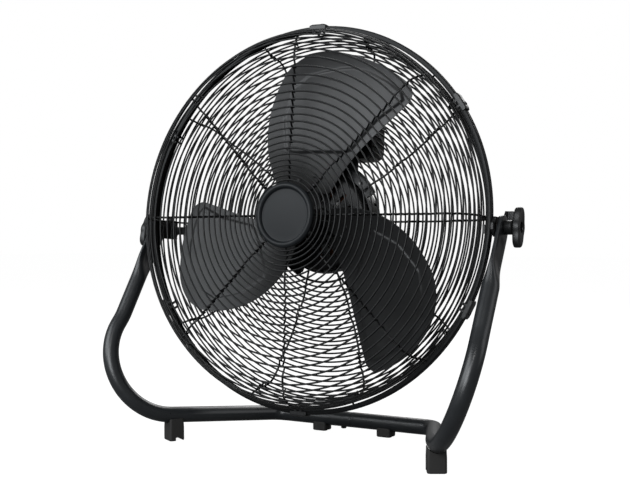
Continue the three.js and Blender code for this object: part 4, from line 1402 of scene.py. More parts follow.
@dataclass(frozen=True)
class MotorUnit:
    """The motor's two cast shells, the plate that holds them, and what shows inside."""

    radius: float = 72.0
    front: float = 40.0
    rear: float = 96.0
    split: float = 66.0
    wall: float = 2.5
    boss: float = 17.0
    bore: float = 7.3
    seat: float = 13.3
    flange: float = 84.0
    flange_front: float = 56.3
    flange_rear: float = 59.3
    plate_front: float = 54.0
    plate_rear: float = 56.0
    plate_radius: float = 90.0
    waist: float = 75.5
    ear_span: float = 17.0
    lug_half: float = 50.0
    lug_top: float = 150.0
    bolt_circle: float = 79.0
    bolt_hole: float = 2.6
    window_half: float = 34.0
    window: tuple[float, float] = (112.0, 132.0)
    vents: int = 16

    def build(self) -> None:
        """Builds the plate, the shells and the screws, and dresses the inner parts."""
        self.mount_plate()
        self.shell("motor_front_casting", "motor_front_shell", self.front, self.split, -1)
        self.shell("motor_rear_casting", "motor_rear_shell", self.rear, self.split + 0.3, 1)
        self.screws()
        dress(Finishes.steel, "front_bearing", "rear_bearing", "rotor_shaft")
        dress(Finishes.laminate, "stator_core")
        dress(Finishes.copper, "front_stator_coil", "rear_stator_coil")

    def mount_plate(self) -> None:
        """Cuts the sheet plate, with its lug for the control box."""
        span, through = (self.plate_front, self.plate_rear), (self.plate_front - 1, self.plate_rear + 1)
        lug = rounded(flat((-self.lug_half, 0), (self.lug_half, 0), (self.lug_half, self.lug_top, 9),
                           (-self.lug_half, self.lug_top, 9)), 6)
        disc = slab(circle(self.plate_radius, 128), *span)
        plate = carrier("mount_plate", disc.mesh("mount_plate", Frames.head))
        carved(plate, [slab(lug, *span)], Frames.head, "UNION")
        cuts = [slab(circle(self.radius + 1, 96), *through), *self.bolt_holes(*through)]
        cuts.append(slab(rounded_box(self.window_half, *self.window, 6), *through))
        carved(plate, cuts + self.gaps(*through, (180, 270, 0)), Frames.head)
        hand_over(eased(plate, 0.4), Look(Finishes.sheet, Slot.FRAME, Body.HEAD), "motor_mount_plate")

    def gaps(self, low: float, high: float, middles: Sequence[float]) -> list[Draft]:
        """The cuts that leave ears round the flange's screws.

        Args:
            low: Where they start along the fan's axis.
            high: Where they end.
            middles: The direction of each cut, in degrees.

        Returns:
            One cut for each direction.
        """
        reach = math.radians(45 - self.ear_span)
        sweep = [lerp(-reach, reach, k / 24) for k in range(25)]
        beyond = self.plate_radius + 7
        outline = [Vector((self.waist * math.cos(a), self.waist * math.sin(a), 0)) for a in sweep]
        outline += [Vector((beyond * math.cos(a), beyond * math.sin(a), 0)) for a in reversed(sweep)]
        cut = Draft().prism(outline, low, high)
        return [cut.moved(FACING_Y @ Matrix.Rotation(math.radians(middle), 4, "Z")) for middle in middles]

    def bolt_places(self) -> list[tuple[float, float]]:
        """The four (x, z) places of the flange's screws."""
        return [(self.bolt_circle * math.cos(math.radians(a)), self.bolt_circle * math.sin(math.radians(a)))
                for a in (45, 135, 225, 315)]

    def bolt_holes(self, low: float, high: float) -> list[Draft]:
        """The cuts that let the flange's screws through."""
        return [hole(self.bolt_hole, 20, place, low, high) for place in self.bolt_places()]

    def shell(self, name: str, node: str, end: float, lip: float, outward: int) -> None:
        """Turns one half of the casing and cuts its cooling slots.

        Args:
            name: The piece's name.
            node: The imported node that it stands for.
            end: Depth of its end wall.
            lip: Depth of its open edge.
            outward: -1 for the front half, 1 for the rear half.
        """
        inner = self.radius - self.wall
        inside = end - outward * self.wall
        seat_inside = inside - outward * 7
        step = end - outward * 0.8
        outside = [
            (self.bore + 1, end + outward * 2, 0.5), (self.boss, end + outward * 2, 1.2),
            (self.boss + 2, end, 1.5), (30, end, 3), (33, step, 3), (52, step, 4),
            (self.radius - 1, end - outward * 3.0, 7), (self.radius, end - outward * 16, 8),
        ]
        if outward < 0:
            outside += [(self.radius, self.flange_front, 1.2), (self.flange, self.flange_front, 1.2),
                        (self.flange, self.flange_rear, 1.2), (self.radius, self.flange_rear, 1.2)]
        outside += [(self.radius, lip, 0.6), (inner, lip, 0.6)]
        hollow = [(inner, inside - outward * 6, 4), (inner - 6, inside, 4), (self.seat + 3, inside, 0.5),
                  (self.seat + 3, seat_inside, 0.5), (self.seat, seat_inside, 0.5), (self.seat, inside, 0.3),
                  (self.bore + 1, inside, 0.3)]
        draft = Draft().lathe(loop(5, *outside, *hollow), 128, closed=True)
        thing = carrier(name, draft.mesh(name, Frames.head))
        low, high = sorted((end - outward * 10, end + outward * 4))
        slot = Draft().prism(loop(5, (28, -2.1, 2), (55, -3.3, 3), (55, 3.3, 3), (28, 2.1, 2)), low, high)
        side = Draft().prism(loop(5, (0, 0, 2.6), (14, 0, 2.6), (14, 5.4, 2.6), (0, 5.4, 2.6)),
                             self.radius - 8, self.radius + 4)
        turn = Matrix(((0, 0, 1, 0), (0, 1, 0, -2.7), (1, 0, 0, (end - outward * 11) - 7), (0, 0, 0, 1)))
        slot.merge(side.moved(turn))
        tools = grow(f"{name}_slots", slot.mesh("slots", Frames.stand), copies_tree(), Finishes.motor,
                     Count=self.vents)
        tools.data.transform(Frames.head @ TURNED_TO_Y @ Matrix.Scale(1 / MM, 4))
        carved(thing, [tools], Frames.head)
        if outward < 0:
            gaps = self.gaps(self.flange_front - 1, self.flange_rear + 1, (0, 90, 180, 270))
            carved(thing, self.bolt_holes(50, 62) + gaps, Frames.head)
        hand_over(eased(thing, 0.45, angle=40), Look(Finishes.motor, Slot.MOTOR, Body.HEAD), node)

    def screws(self) -> None:
        """Sets the four flange screws, whose shanks pass through the plate."""
        rear = self.flange_rear + 0.3
        head = Draft().prism(circle(4.5, 6), 0, 2.2)
        head.merge(turned(28, 3, (0, 0), (5.4, 0), (5.4, 0.5, 0.2), (0, 0.5)).moved(TURNED_TO_Z))
        head.merge(turned(20, 1, (0, -8), (2.15, -8), (2.15, 0.4), (0, 0.4)).moved(TURNED_TO_Z))
        spots = [(Vector((x, rear, z)), REARWARD) for x, z in self.bolt_places()]
        nodes = [f"motor_screw_{number + 1}" for number in range(4)]
        fastened("motor_screws", head, spots, Look(Finishes.steel, Slot.STEEL, Body.HEAD), *nodes,
                 place=Frames.head, bevel=0.25, spin=1.0, seed=11)


# ------------------------------------------------------------------ the control box


@dataclass(frozen=True)
class ControlBox:
    """The switch box behind the guard: its cover, shell, dial, knob and cord inlet."""

    half_width: float = 70.0
    bottom: float = 92.0
    top: float = 160.0
    cover_front: float = 56.3
    cover_rear: float = 58.3
    front: float = 58.6
    rear: float = 102.0
    wall: float = 2.5
    corner: float = 14.0
    knob_radius: float = 17.0
    knob_length: float = 15.0
    stem: float = 3.6
    ribs: int = 28
    stops: int = 4

    @property
    def middle(self) -> float:
        """Height of the knob's axis."""
        return (self.bottom + self.top) / 2

    def outline(self, inset: float) -> list[Vector]:
        """The box's outline, drawn in by an inset."""
        return rounded_box(self.half_width - inset, self.bottom + inset, self.top - inset,
                           max(self.corner - inset, 2.0))

    def build(self) -> None:
        """Builds every piece of the box."""
        look = Look(Finishes.housing, Slot.PLASTIC, Body.HEAD)
        cover = slab(self.outline(0), self.cover_front, self.cover_rear)
        made("box_cover", cover, Frames.head, look, "control_box_cover", bevel=0.6)
        self.shell(look)
        self.dial()
        self.knob()
        self.gland()
        inset = self.half_width - 10
        corners = [(x, z) for x in (-inset, inset) for z in (self.bottom + 10, self.top - 10)]
        spots = [(Vector((x, self.rear - 0.35, z)), REARWARD) for x, z in corners]
        fastened("box_screws", pan_head(3.4, 1.6), spots, Look(Finishes.dark_steel, Slot.STEEL, Body.HEAD),
                 place=Frames.head, cuts=cross_recess(3.4, 1.6), spin=1.5, seed=5)
        dress(Finishes.plastic, "rotary_switch", "run_capacitor")

    def shell(self, look: Look) -> None:
        """Moulds the hollow shell, with a round sunk field for the knob.

        Args:
            look: The shell's finish, slot and body.
        """
        seam = self.front + 6
        rows = [(self.rear - self.wall, self.wall), (self.front, self.wall), (self.front, 0.0),
                (seam, 0.0), (seam + 0.4, 0.7), (seam + 1.4, 0.7), (seam + 1.8, 0.0)]
        rows += [(self.rear - 5 + 5 * math.sin(a), 5 - 5 * math.cos(a))
                 for a in (math.radians(15 * k) for k in range(7))]
        skin = [[point + Vector((0, 0, depth)) for point in self.outline(inset)] for depth, inset in rows]
        draft = Draft().loft(skin).moved(FACING_Y)
        at = (0, self.middle)
        sunk = hole(self.knob_radius + 9, 72, at, self.rear - 0.9, self.rear + 2)
        stem = hole(self.stem + 0.3, 24, at, self.rear - 4, self.rear + 2)
        made("box_shell", draft, Frames.head, look, "control_box_shell", bevel=0.5, angle=40,
             cuts=[sunk, stem])

    def dial(self) -> None:
        """Inlays the pale dots that mark the knob's stops."""
        reach = self.knob_radius + 5.2
        dot = turned(20, 3, (0, -0.6), (1.3, -0.6), (1.3, 0.25, 0.2), (0, 0.3)).moved(TURNED_TO_Z)
        spots = []
        for index in range(self.stops):
            angle = math.radians(90 + (index - (self.stops - 1) / 2) * 40)
            place = Vector((reach * math.cos(angle), self.rear - 0.9, self.middle + reach * math.sin(angle)))
            spots.append((place, REARWARD))
        fastened("dial_marks", dot, spots, Look(Finishes.marker, Slot.PLASTIC, Body.HEAD), place=Frames.head)

    def knob(self) -> None:
        """Turns the speed knob and joins its grip ribs, pointer and stem."""
        low, high = self.rear + 0.3, self.rear + 0.3 + self.knob_length
        radius = self.knob_radius
        body = turned(
            96, 5, (0, low - 14), (self.stem, low - 14, 0.4), (self.stem, low), (radius - 1.2, low, 0.6),
            (radius, low + 0.8, 0.6), (radius, low + 3.2, 0.8), (radius - 1.1, low + 4, 0.6),
            (radius - 2.4, high - 1.8, 1.6), (radius - 4.4, high - 0.2, 1.2), (radius - 6, high - 0.9, 0.8),
            (0, high - 1.1))
        rib_line = rounded(flat((radius - 3.4, -0.8), (radius - 0.9, -0.55, 0.5), (radius - 0.9, 0.55, 0.5),
                                (radius - 3.4, 0.8)), 3)
        rib = Draft().prism(rib_line, 4.2, self.knob_length - 3)
        ribs = grow("knob_ribs", rib.mesh("knob_ribs", Frames.stand), copies_tree(), Finishes.plastic,
                    Count=self.ribs)
        place = Frames.head @ Matrix.Translation((0, 0, self.middle))
        thing = carrier("speed_dial_knob", body.mesh("speed_dial_knob", place))
        pointer = rounded(flat((-1.9, 1), (1.9, 1), (1.5, radius - 2.6, 1.2), (-1.5, radius - 2.6, 1.2)), 4)
        carved(thing, [slab(pointer, high - 3, high + 1.6)], place, "UNION")
        ribs.data.transform(place @ Matrix.Translation((0, low, 0)) @ TURNED_TO_Y @ Matrix.Scale(1 / MM, 4))
        joined = bmesh.new()
        joined.from_mesh(thing.data)
        joined.from_mesh(ribs.data)
        bmesh.ops.recalc_face_normals(joined, faces=joined.faces)
        joined.to_mesh(thing.data)
        joined.free()
        bpy.data.objects.remove(ribs)
        thing.data.materials.clear()
        hand_over(eased(thing, 0.25), Look(Finishes.plastic, Slot.PLASTIC, Body.DIAL), "speed_knob")
        inlay = loop(4, (-0.55, radius - 9, 0.5), (0.55, radius - 9, 0.5), (0.55, radius - 3.8, 0.5),
                     (-0.55, radius - 3.8, 0.5))
        made("knob_mark", slab(inlay, high + 1.3, high + 1.85), place,
             Look(Finishes.marker, Slot.PLASTIC, Body.DIAL))

    def gland(self) -> None:
        """Turns the ribbed, hollow inlet on the side wall, where a cord would enter."""
        near = -(self.half_width + 0.3)
        rows = [(3.6, near, 0.2), (9.5, near, 0.5), (9.5, near - 3.0, 0.8), (7.2, near - 3.2, 0.6)]
        for k in range(4):
            start = near - 5 - 3.2 * k
            radius = 7.0 - 0.45 * k
            rows += [(radius, start, 0.3), (radius, start - 1.9, 0.5), (radius - 1.0, start - 2.1, 0.3),
                     (radius - 1.0, start - 3.1, 0.3)]
        rows += [(5.4, near - 18, 0.6), (3.6, near - 18, 0.4)]
        spin = Matrix.Rotation(-math.pi / 2, 4, "Z")
        place = Matrix.Translation((0, (self.front + self.rear) / 2, self.bottom + 20))
        draft = Draft().lathe(loop(3, *rows), 48, closed=True).moved(place @ spin)
        made("cord_inlet", draft, Frames.head, Look(Finishes.rubber, Slot.RUBBER, Body.HEAD), "cord_gland")


# ------------------------------------------------------------------ the tilt pivots


@dataclass(frozen=True)
class TiltPivot:
    """One side's pivot: the bracket on the rim, its bolt and washer, and the clamping knob."""

    side: Side
    knob_turn: float
    body: Body
    plate_inner: float = 275.3
    plate: float = 3.0
    half_height: float = 13.0
    web_rear: float = 44.0
    web_reach: float = 12.0
    tongue_reach: float = 29.0
    tongue_half: float = 6.0
    ear_rear: float = 52.0
    ear_low: float = 9.0
    ear_high: float = 24.0
    ear_outer: float = 285.8
    front: float = -7.0
    bolt: float = 4.0
    hub: float = 9.5
    hub_start: float = 286.1
    wings_start: float = 298.1
    wings_end: float = 308.5
    wing: float = 26.5
    waist: float = 12.5
    recess: float = 7.0
    recess_depth: float = 6.0

    @property
    def place(self) -> Matrix:
        """The frame of this side: x outwards, with the head's y and z."""
        return Frames.head @ Matrix.Scale(self.side.value, 4, Vector((1, 0, 0)))

    @property
    def axis(self) -> tuple[float, float]:
        """The tilt axis as (y, z) in the head's frame."""
        point = Frames.pivot_in_head
        return point.y, point.z

    def build(self) -> None:
        """Builds the four pieces of this side."""
        self.bracket()
        self.washer()
        self.bolt_piece()
        self.knob()

    def bracket(self) -> None:
        """Folds the bracket from sheet, joins its stop ear and sets its two rivets."""
        y, z = self.axis
        inner, outer = self.plate_inner - self.web_reach, self.plate_inner + self.plate
        middle, web = self.plate_inner + self.plate / 2, self.web_rear - self.plate / 2
        low, high, front = z - self.half_height, z + self.half_height, self.front
        tongue = self.plate_inner - self.tongue_reach
        path = rounded(flat((middle, front), (middle, web, 4.0), (tongue, web)), 6)
        sheet = Draft().prism(strip(path, self.plate), low, high)
        thing = carrier(f"pivot_bracket_{self.side.word}_sheet", sheet.mesh("bracket", self.place))
        cuts = []
        for a, b in ((low - 1, z - self.tongue_half), (z + self.tongue_half, high + 1)):
            cuts.append(slab(loop(5, (240, a), (inner, a, 3), (inner, b, 3), (240, b)), web - 8, web + 8))
        cuts.append(hole(self.bolt + 0.3, 32, (y, z), 270, 284, FACING_X))
        for edge, sign in ((low, -1), (high, 1)):
            corner = loop(4, (front - 1, edge + sign), (front + 9, edge + sign), (front + 9, edge),
                          (front, edge - sign * 9), (front - 1, edge - sign * 9))
            cuts.append(slab(corner, 270, 284, FACING_X))
        carved(thing, cuts, self.place)
        carved(thing, [self.ear(middle, z)], self.place, "UNION")
        look = Look(Finishes.sheet, Slot.FRAME, Body.HEAD)
        hand_over(eased(thing, 0.45), look, f"pivot_bracket_{self.side.word}")
        rivet = turned(28, 4, (0, 0), (3.6, 0), (3.2, 0.7, 0.4), (1.6, 1.15, 0.8), (0, 1.25))
        aim = Matrix.Rotation(self.side.value * math.pi / 2, 4, "Y").to_euler()
        spots = [(Vector((self.side.value * (outer - 0.1), 0, z + dz)), aim) for dz in (-6.5, 6.5)]
        fastened(f"bracket_rivets_{self.side.word}", rivet.moved(TURNED_TO_Z), spots,
                 Look(Finishes.dark_steel, Slot.STEEL, Body.HEAD), place=Frames.head)

    def ear(self, middle: float, z: float) -> bpy.types.Object:
        """Folds the ear that stops the tilt, with its sloped top and the notch under its tip.

        Args:
            middle: The middle of the bracket's side sheet.
            z: Height of the tilt axis.

        Returns:
            The ear as a loose object.
        """
        tip, rear = self.ear_high, self.ear_rear - self.plate / 2
        path = rounded(flat((middle, 24), (middle, rear, 3.0), (self.ear_outer, rear)), 6)
        draft = Draft().prism(strip(path, self.plate - 0.2), z + 4, z + tip)
        slope = loop(6, (20, z + 12.6), (38, z + 12.9, 5), (47, z + tip, 4), (47, z + 30), (20, z + 30))
        under = loop(4, (45.2, z - 1), (60, z - 1), (60, z + self.ear_low), (45.2, z + self.ear_low, 2))
        cuts = [slab(outline, 270, 290, FACING_X) for outline in (slope, under)]
        return carved(carrier("ear", draft.mesh("ear", self.place)), cuts, self.place)

    def washer(self) -> None:
        """Cuts the thin friction washer."""
        low, bore = self.plate_inner + self.plate + 0.3, self.bolt + 0.3
        profile = loop(3, (bore, low, 0.2), (15, low, 0.3), (15, low + 0.9, 0.3), (bore, low + 0.9, 0.2))
        draft = Draft().lathe(profile, 64, closed=True)
        made(f"washer_{self.side.word}", draft.moved(self.on_axis()), self.place,
             Look(Finishes.rubber, Slot.RUBBER, Body.HEAD), f"friction_washer_{self.side.word}")

    def on_axis(self) -> Matrix:
        """Turns a lathe's axis into the tilt axis."""
        swap = Matrix(((0, 1, 0, 0), (1, 0, 0, 0), (0, 0, 1, 0), (0, 0, 0, 1)))
        return Matrix.Translation((0, *self.axis)) @ swap

    def bolt_piece(self) -> None:
        """Turns the carriage bolt, with its hexagon head inside the bracket."""
        inner = self.plate_inner - 0.3
        head = slab(circle(7.2, 6, *self.axis), inner - 5.6, inner - 0.6, FACING_X)
        collar = turned(48, 3, (0, inner - 0.8), (8.2, inner - 0.8), (8.2, inner, 0.2), (0, inner))
        rows = [(0, inner - 1), (self.bolt, inner - 1)]
        for place in range(280, 293):
            rows += [(self.bolt, place), (self.bolt - 0.45, place + 0.35), (self.bolt, place + 0.7)]
        rows += [(self.bolt - 0.7, 295.1), (0, 295.1)]
        shank = Draft().lathe(rows, 32)
        draft = head.merge(collar.moved(self.on_axis())).merge(shank.moved(self.on_axis()))
        look = Look(Finishes.dark_steel, Slot.STEEL, Body.HEAD)
        made(f"pivot_bolt_{self.side.word}", draft, self.place, look, f"tilt_bolt_{self.side.word}",
             bevel=0.3, angle=45)

    def wings(self, inset: float) -> list[Vector]:
        """The two-winged outline in (y, z) about the axis, drawn in by an inset."""
        points = []
        for k in range(96):
            angle = TURN * k / 96
            radius = lerp(self.waist, self.wing, ((1 + math.cos(2 * angle)) / 2) ** 3)
            points.append(Vector((radius * math.cos(angle), radius * math.sin(angle), 0)))
        return offset(points, inset)

    def knob(self) -> None:
        """Moulds the clamping knob: a neck, two wings and a round recess in its face."""
        top, edge, deep = self.wings_end, self.wings_start, self.wings_end - self.recess_depth
        neck = [(self.hub_start, 4.3), (self.hub_start, self.hub - 0.6), (self.hub_start + 0.6, self.hub),
                (edge - 3.2, self.hub), (edge - 1.4, self.hub + 0.7), (edge - 0.3, self.hub + 2.2)]
        winged = [(edge, 2.6), (edge + 0.4, 1.6), (edge + 1.2, 0.6), (edge + 2.4, 0.0), (top - 2.6, 0.0),
                  (top - 1.3, 0.4), (top - 0.4, 1.2), (top - 0.05, 2.2), (top, 3.2)]
        sunk = [(top - 0.2, self.recess + 1.2), (top - 0.6, self.recess + 0.4), (top - 1.5, self.recess),
                (deep, self.recess - 0.5), (deep, 4.6), (deep + 0.8, 4.3), (deep + 0.8, 2.0)]
        rows = [(depth, circle(radius, 96)) for depth, radius in neck]
        rows += [(depth, self.wings(inset)) for depth, inset in winged]
        rows += [(depth, circle(radius, 96)) for depth, radius in sunk]
        skin = [[point + Vector((0, 0, depth)) for point in outline] for depth, outline in rows]
        bore = [[point + Vector((0, 0, depth)) for point in circle(4.3, 96)]
                for depth in (self.hub_start, edge - 1.4)]
        shell = Draft().loft(skin, ends=False).loft(bore, ends=False)
        shell.add(bore[1], [list(range(96))])
        shell.add(skin[-1], [list(range(96))])
        spin = Matrix.Rotation(math.radians(self.knob_turn), 4, "Z")
        turn = Matrix.Translation((0, *self.axis)) @ FACING_X @ spin
        made(f"tilt_knob_{self.side.word}_winged", shell.moved(turn), self.place,
             Look(Finishes.plastic, Slot.PLASTIC, self.body), f"tilt_knob_{self.side.word}", angle=48)


# ------------------------------------------------------------------ the fan wheel


@dataclass(frozen=True)
class FanWheel:
    """Three pressed blades riveted to the arms of a hub, and the nut that holds it."""

    blades: int = 3
    root: float = 40.0
    tip: float = 240.5
    tip_place: float = 0.3
    trailing_drop: float = 14.0
    leading_drop: float = 9.0
    trailing_corner: float = 16.0
    leading_corner: float = 19.0
    root_corner: float = 7.0
    sheet: float = 1.6
    front_depth: float = -12.0
    rear_depth: float = 32.0
    sweep_back: float = 13.0
    camber: float = 5.0
    panel_height: float = 1.6
    panel_edge: float = 4.0
    panel: tuple[tuple[float, float], ...] = (
        (191, 98), (206, 91), (212, 85), (219, 79), (223, 75), (223.5, 69), (221, 62), (217, 55.5),
        (210, 53.5), (168, 58), (113, 63), (106, 67), (101, 76), (98, 92), (100, 105), (108, 111), (150, 106))
    columns: int = 132
    rows: int = 144
    arm_reach: float = 66.0
    arm_start: float = 9.0
    arm_span: tuple[float, float] = (0.3, 0.7)
    arm_sheet: float = 2.5
    arm_behind: float = 2.95
    boss: float = 16.0
    boss_front: float = -4.0
    boss_rear: float = 30.0
    bore: float = 6.3
    nut: float = 11.0
    rivets: tuple[tuple[float, float], ...] = ((0.35, 60.0), (0.62, 50.0), (0.60, 64.0))

    def share(self, reach: float) -> float:
        """The share of the way from the root to the tip at which a reach lies."""
        return min(1.0, max(0.0, (reach - self.root) / (self.tip - self.root)))

    def edges(self, reach: float) -> tuple[float, float]:
        """Angles of the trailing and the leading edge at a reach, in degrees from the blade's middle."""
        share = self.share(reach)
        return lerp(46, 2.2, share ** 1.2), lerp(-24, -39, math.sin(share * math.pi / 2))

    def width(self, reach: float) -> float:
        """Width of the blade along the arc at a reach."""
        trailing, leading = self.edges(reach)
        return math.radians(trailing - leading) * reach

    def outer_reach(self, across: float) -> float:
        """How far the blade reaches at a share of its width, with both corners rounded."""
        beyond = across - self.tip_place
        if beyond < 0:
            reach = self.tip - self.trailing_drop * (beyond / self.tip_place) ** 2
        else:
            reach = self.tip - self.leading_drop * (beyond / (1 - self.tip_place)) ** 2
        width = self.width(self.tip)
        reach -= self.corner_drop(across * width, self.trailing_corner)
        return reach - self.corner_drop((1 - across) * width, self.leading_corner)

    @staticmethod
    def corner_drop(distance: float, radius: float) -> float:
        """How far a rounded corner falls back at a distance from the side edge."""
        if distance >= radius:
            return 0.0
        return radius - math.sqrt(max(0.0, radius**2 - (radius - distance) ** 2))

    def point(self, across: float, reach: float) -> Vector:
        """A point of the blade's middle surface.

        Args:
            across: Share of the width, from the trailing edge at the front to the leading edge.
            reach: Distance from the fan's axis.

        Returns:
            The point in the head's frame, on the blade that stands upright.
        """
        trailing, leading = self.edges(reach)
        angle = math.radians(lerp(trailing, leading, across))
        depth = lerp(self.front_depth, self.rear_depth, across) + self.camber * math.sin(across * math.pi)
        depth += self.sweep_back * across**1.6 * smooth(0.3, 1.0, self.share(reach))
        return Vector((-reach * math.sin(angle), depth, reach * math.cos(angle)))

    def normal(self, across: float, reach: float) -> Vector:
        """The surface's direction towards the rear at a point."""
        step = 0.002
        wide = self.point(across + step, reach) - self.point(across - step, reach)
        far = self.point(across, reach + 0.5) - self.point(across, reach - 0.5)
        facing = wide.cross(far).normalized()
        return facing if facing.y > 0 else -facing

    def panel_outline(self) -> list[Vector]:
        """The outline of the raised panel in the (x, z) plane."""
        return [Vector((reach * math.cos(math.radians(degrees)), reach * math.sin(math.radians(degrees)), 0))
                for reach, degrees in self.panel]

    def raised(self, point: Vector, outline: Sequence[Vector]) -> float:
        """How far the pressed panel stands forward at a point.

        Args:
            point: The point in the head's frame.
            outline: The panel's outline.

        Returns:
            The height, which rises softly inside the outline.
        """
        spot = Vector((point.x, point.z, 0))
        nearest, inside = math.inf, False
        for first, second in zip(outline, outline[1:] + outline[:1]):
            edge, arm = second - first, spot - first
            share = min(1.0, max(0.0, arm.dot(edge) / edge.length_squared))
            nearest = min(nearest, (arm - edge * share).length)
            if (first.y > spot.y) != (second.y > spot.y):
                crossing = first.x + (spot.y - first.y) / (second.y - first.y) * (second.x - first.x)
                inside ^= spot.x < crossing
        signed = nearest if inside else -nearest
        return self.panel_height * smooth(-self.panel_edge / 2, self.panel_edge / 2, signed)

    def plate(self, span: tuple[float, float], reach_of: Callable[[float, float], float],
              grid: tuple[int, int], sheet: float, behind: float = 0.0, pressed: bool = False) -> Draft:
        """A curved sheet over the blade's surface.

        Args:
            span: The shares of the width that it covers.
            reach_of: The reach at a share of the width and a share of the length.
            grid: Columns and rows.
            sheet: Its thickness.
            behind: How far it lies behind the blade's surface.
            pressed: Whether the raised panel is pressed into it.

        Returns:
            The sheet as a closed shape.
        """
        columns, rows = grid
        outline = self.panel_outline()
        middle: list[list[tuple[Vector, Vector]]] = []
        for j in range(rows + 1):
            row = []
            for i in range(columns + 1):
                even = i / columns
                share = 0.45 * even + 0.55 * (1 - math.cos(math.pi * even)) / 2
                across = lerp(span[0], span[1], share)
                reach = reach_of(across, j / rows)
                point = self.point(across, reach) + Vector((0, behind, 0))
                if pressed:
                    point.y -= self.raised(point, outline)
                row.append((point, self.normal(min(0.995, max(0.005, across)), reach)))
            middle.append(row)
        layers = [[[point + facing * side * sheet for point, facing in row] for row in middle]
                  for side in (-0.5, 0.5)]
        draft = Draft()
        for layer in layers:
            draft.loft(layer, ends=False, ring=False)
        border = [(0, i) for i in range(columns)] + [(j, columns) for j in range(rows)]
        border += [(rows, i) for i in range(columns, 0, -1)] + [(j, 0) for j in range(rows, 0, -1)]
        rims = [[layer[j][i] for j, i in border] for layer in layers]
        return draft.loft(rims, ends=False)

    def build(self) -> None:
        """Builds the blades, the rivets, the hub and the nut."""
        blade = self.plate(
            (0.0, 1.0), lambda across, along: lerp(self.inner_reach(across), self.outer_reach(across), along),
            (self.columns, self.rows), self.sheet, pressed=True)
        look = Look(Finishes.blade, Slot.BLADE, Body.FAN)
        for number, turn in enumerate(self.turns()):
            made(f"blade_{number + 1}", blade, Frames.head @ turn, look, f"fan_blade_{number + 1}",
                 bevel=0.45, angle=50)
        self.rivet_rows()
        self.hub()
        self.spinner()

    def turns(self) -> list[Matrix]:
        """The turns that take the upright blade to each blade's place."""
        return [Matrix.Rotation(TURN * number / self.blades, 4, "Y") for number in range(self.blades)]

    def inner_reach(self, across: float) -> float:
        """Where the blade begins, with its root corners rounded."""
        width = self.width(self.root)
        drop = self.corner_drop(across * width, self.root_corner)
        return self.root + drop + self.corner_drop((1 - across) * width, self.root_corner)

    def rivet_rows(self) -> None:
        """Sets three rivets through each blade into its arm."""
        rivet = turned(28, 5, (0, -0.4), (3.4, -0.4), (3.4, 0.3, 0.3), (2.2, 1.3, 1.4), (0, 1.6))
        spots = []
        for turn in self.turns():
            for across, reach in self.rivets:
                facing = -self.normal(across, reach)
                place = self.point(across, reach) + facing * (self.sheet / 2)
                aim = (turn @ facing).to_track_quat("Z", "Y").to_euler()
                spots.append((turn @ place, aim))
        fastened("blade_rivets", rivet.moved(TURNED_TO_Z), spots, Look(Finishes.blade, Slot.BLADE, Body.FAN),
                 place=Frames.head)

    def hub(self) -> None:
        """Joins the boss and the three twisted arms, and bores it."""
        arm = self.plate(self.arm_span, lambda _, along: lerp(self.arm_start, self.arm_reach, along),
                         (14, 30), self.arm_sheet, behind=self.arm_behind)
        boss, neck, front, rear = self.boss, self.boss - 3, self.boss_front, self.boss_rear
        draft = turned(72, 5, (0, front), (neck, front, 1.0), (boss, front + 2.5, 2.0), (boss, rear - 6, 2.0),
                       (neck, rear - 4, 2.0), (neck, rear, 0.8), (0, rear))
        thing = carrier("fan_hub_arms", draft.mesh("hub", Frames.head))
        carved(thing, [arm.moved(turn) for turn in self.turns()], Frames.head, "UNION")
        bore = turned(48, 1, (0, -20), (self.bore, -20), (self.bore, 40), (0, 40))
        screw = turned(24, 1, (0, 8), (2.6, 8), (2.6, 20), (0, 20)).moved(TURNED_TO_Z)
        carved(thing, [bore, screw.moved(Matrix.Translation((0, 23, 0)))], Frames.head)
        hand_over(eased(thing, 0.4, angle=40), Look(Finishes.sheet, Slot.BLADE, Body.FAN), "fan_hub")

    def spinner(self) -> None:
        """Shapes the domed left-hand nut on the shaft's front end."""
        front, rear = -18.0, self.boss_front - 0.3
        hexagon = slab(circle(self.nut, 6), front, rear)
        thing = carrier("spinner_cap_nut", hexagon.mesh("spinner", Frames.head))
        wide = self.nut + 0.2
        dome = turned(64, 6, (0, front), (4.0, front + 0.3, 2.0), (8.6, front + 2.4, 4), (wide, front + 6, 3),
                      (wide, rear - 0.9, 1.0), (self.nut - 0.9, rear), (0, rear))
        carved(thing, [dome], Frames.head, "INTERSECT")
        bore = turned(48, 1, (0, -14.3), (self.bore, -14.3), (self.bore, 0), (0, 0))
        carved(thing, [bore], Frames.head)
        hand_over(eased(thing, 0.3), Look(Finishes.plastic, Slot.PLASTIC, Body.FAN), "spinner_nut")


# ------------------------------------------------------------------ the stand


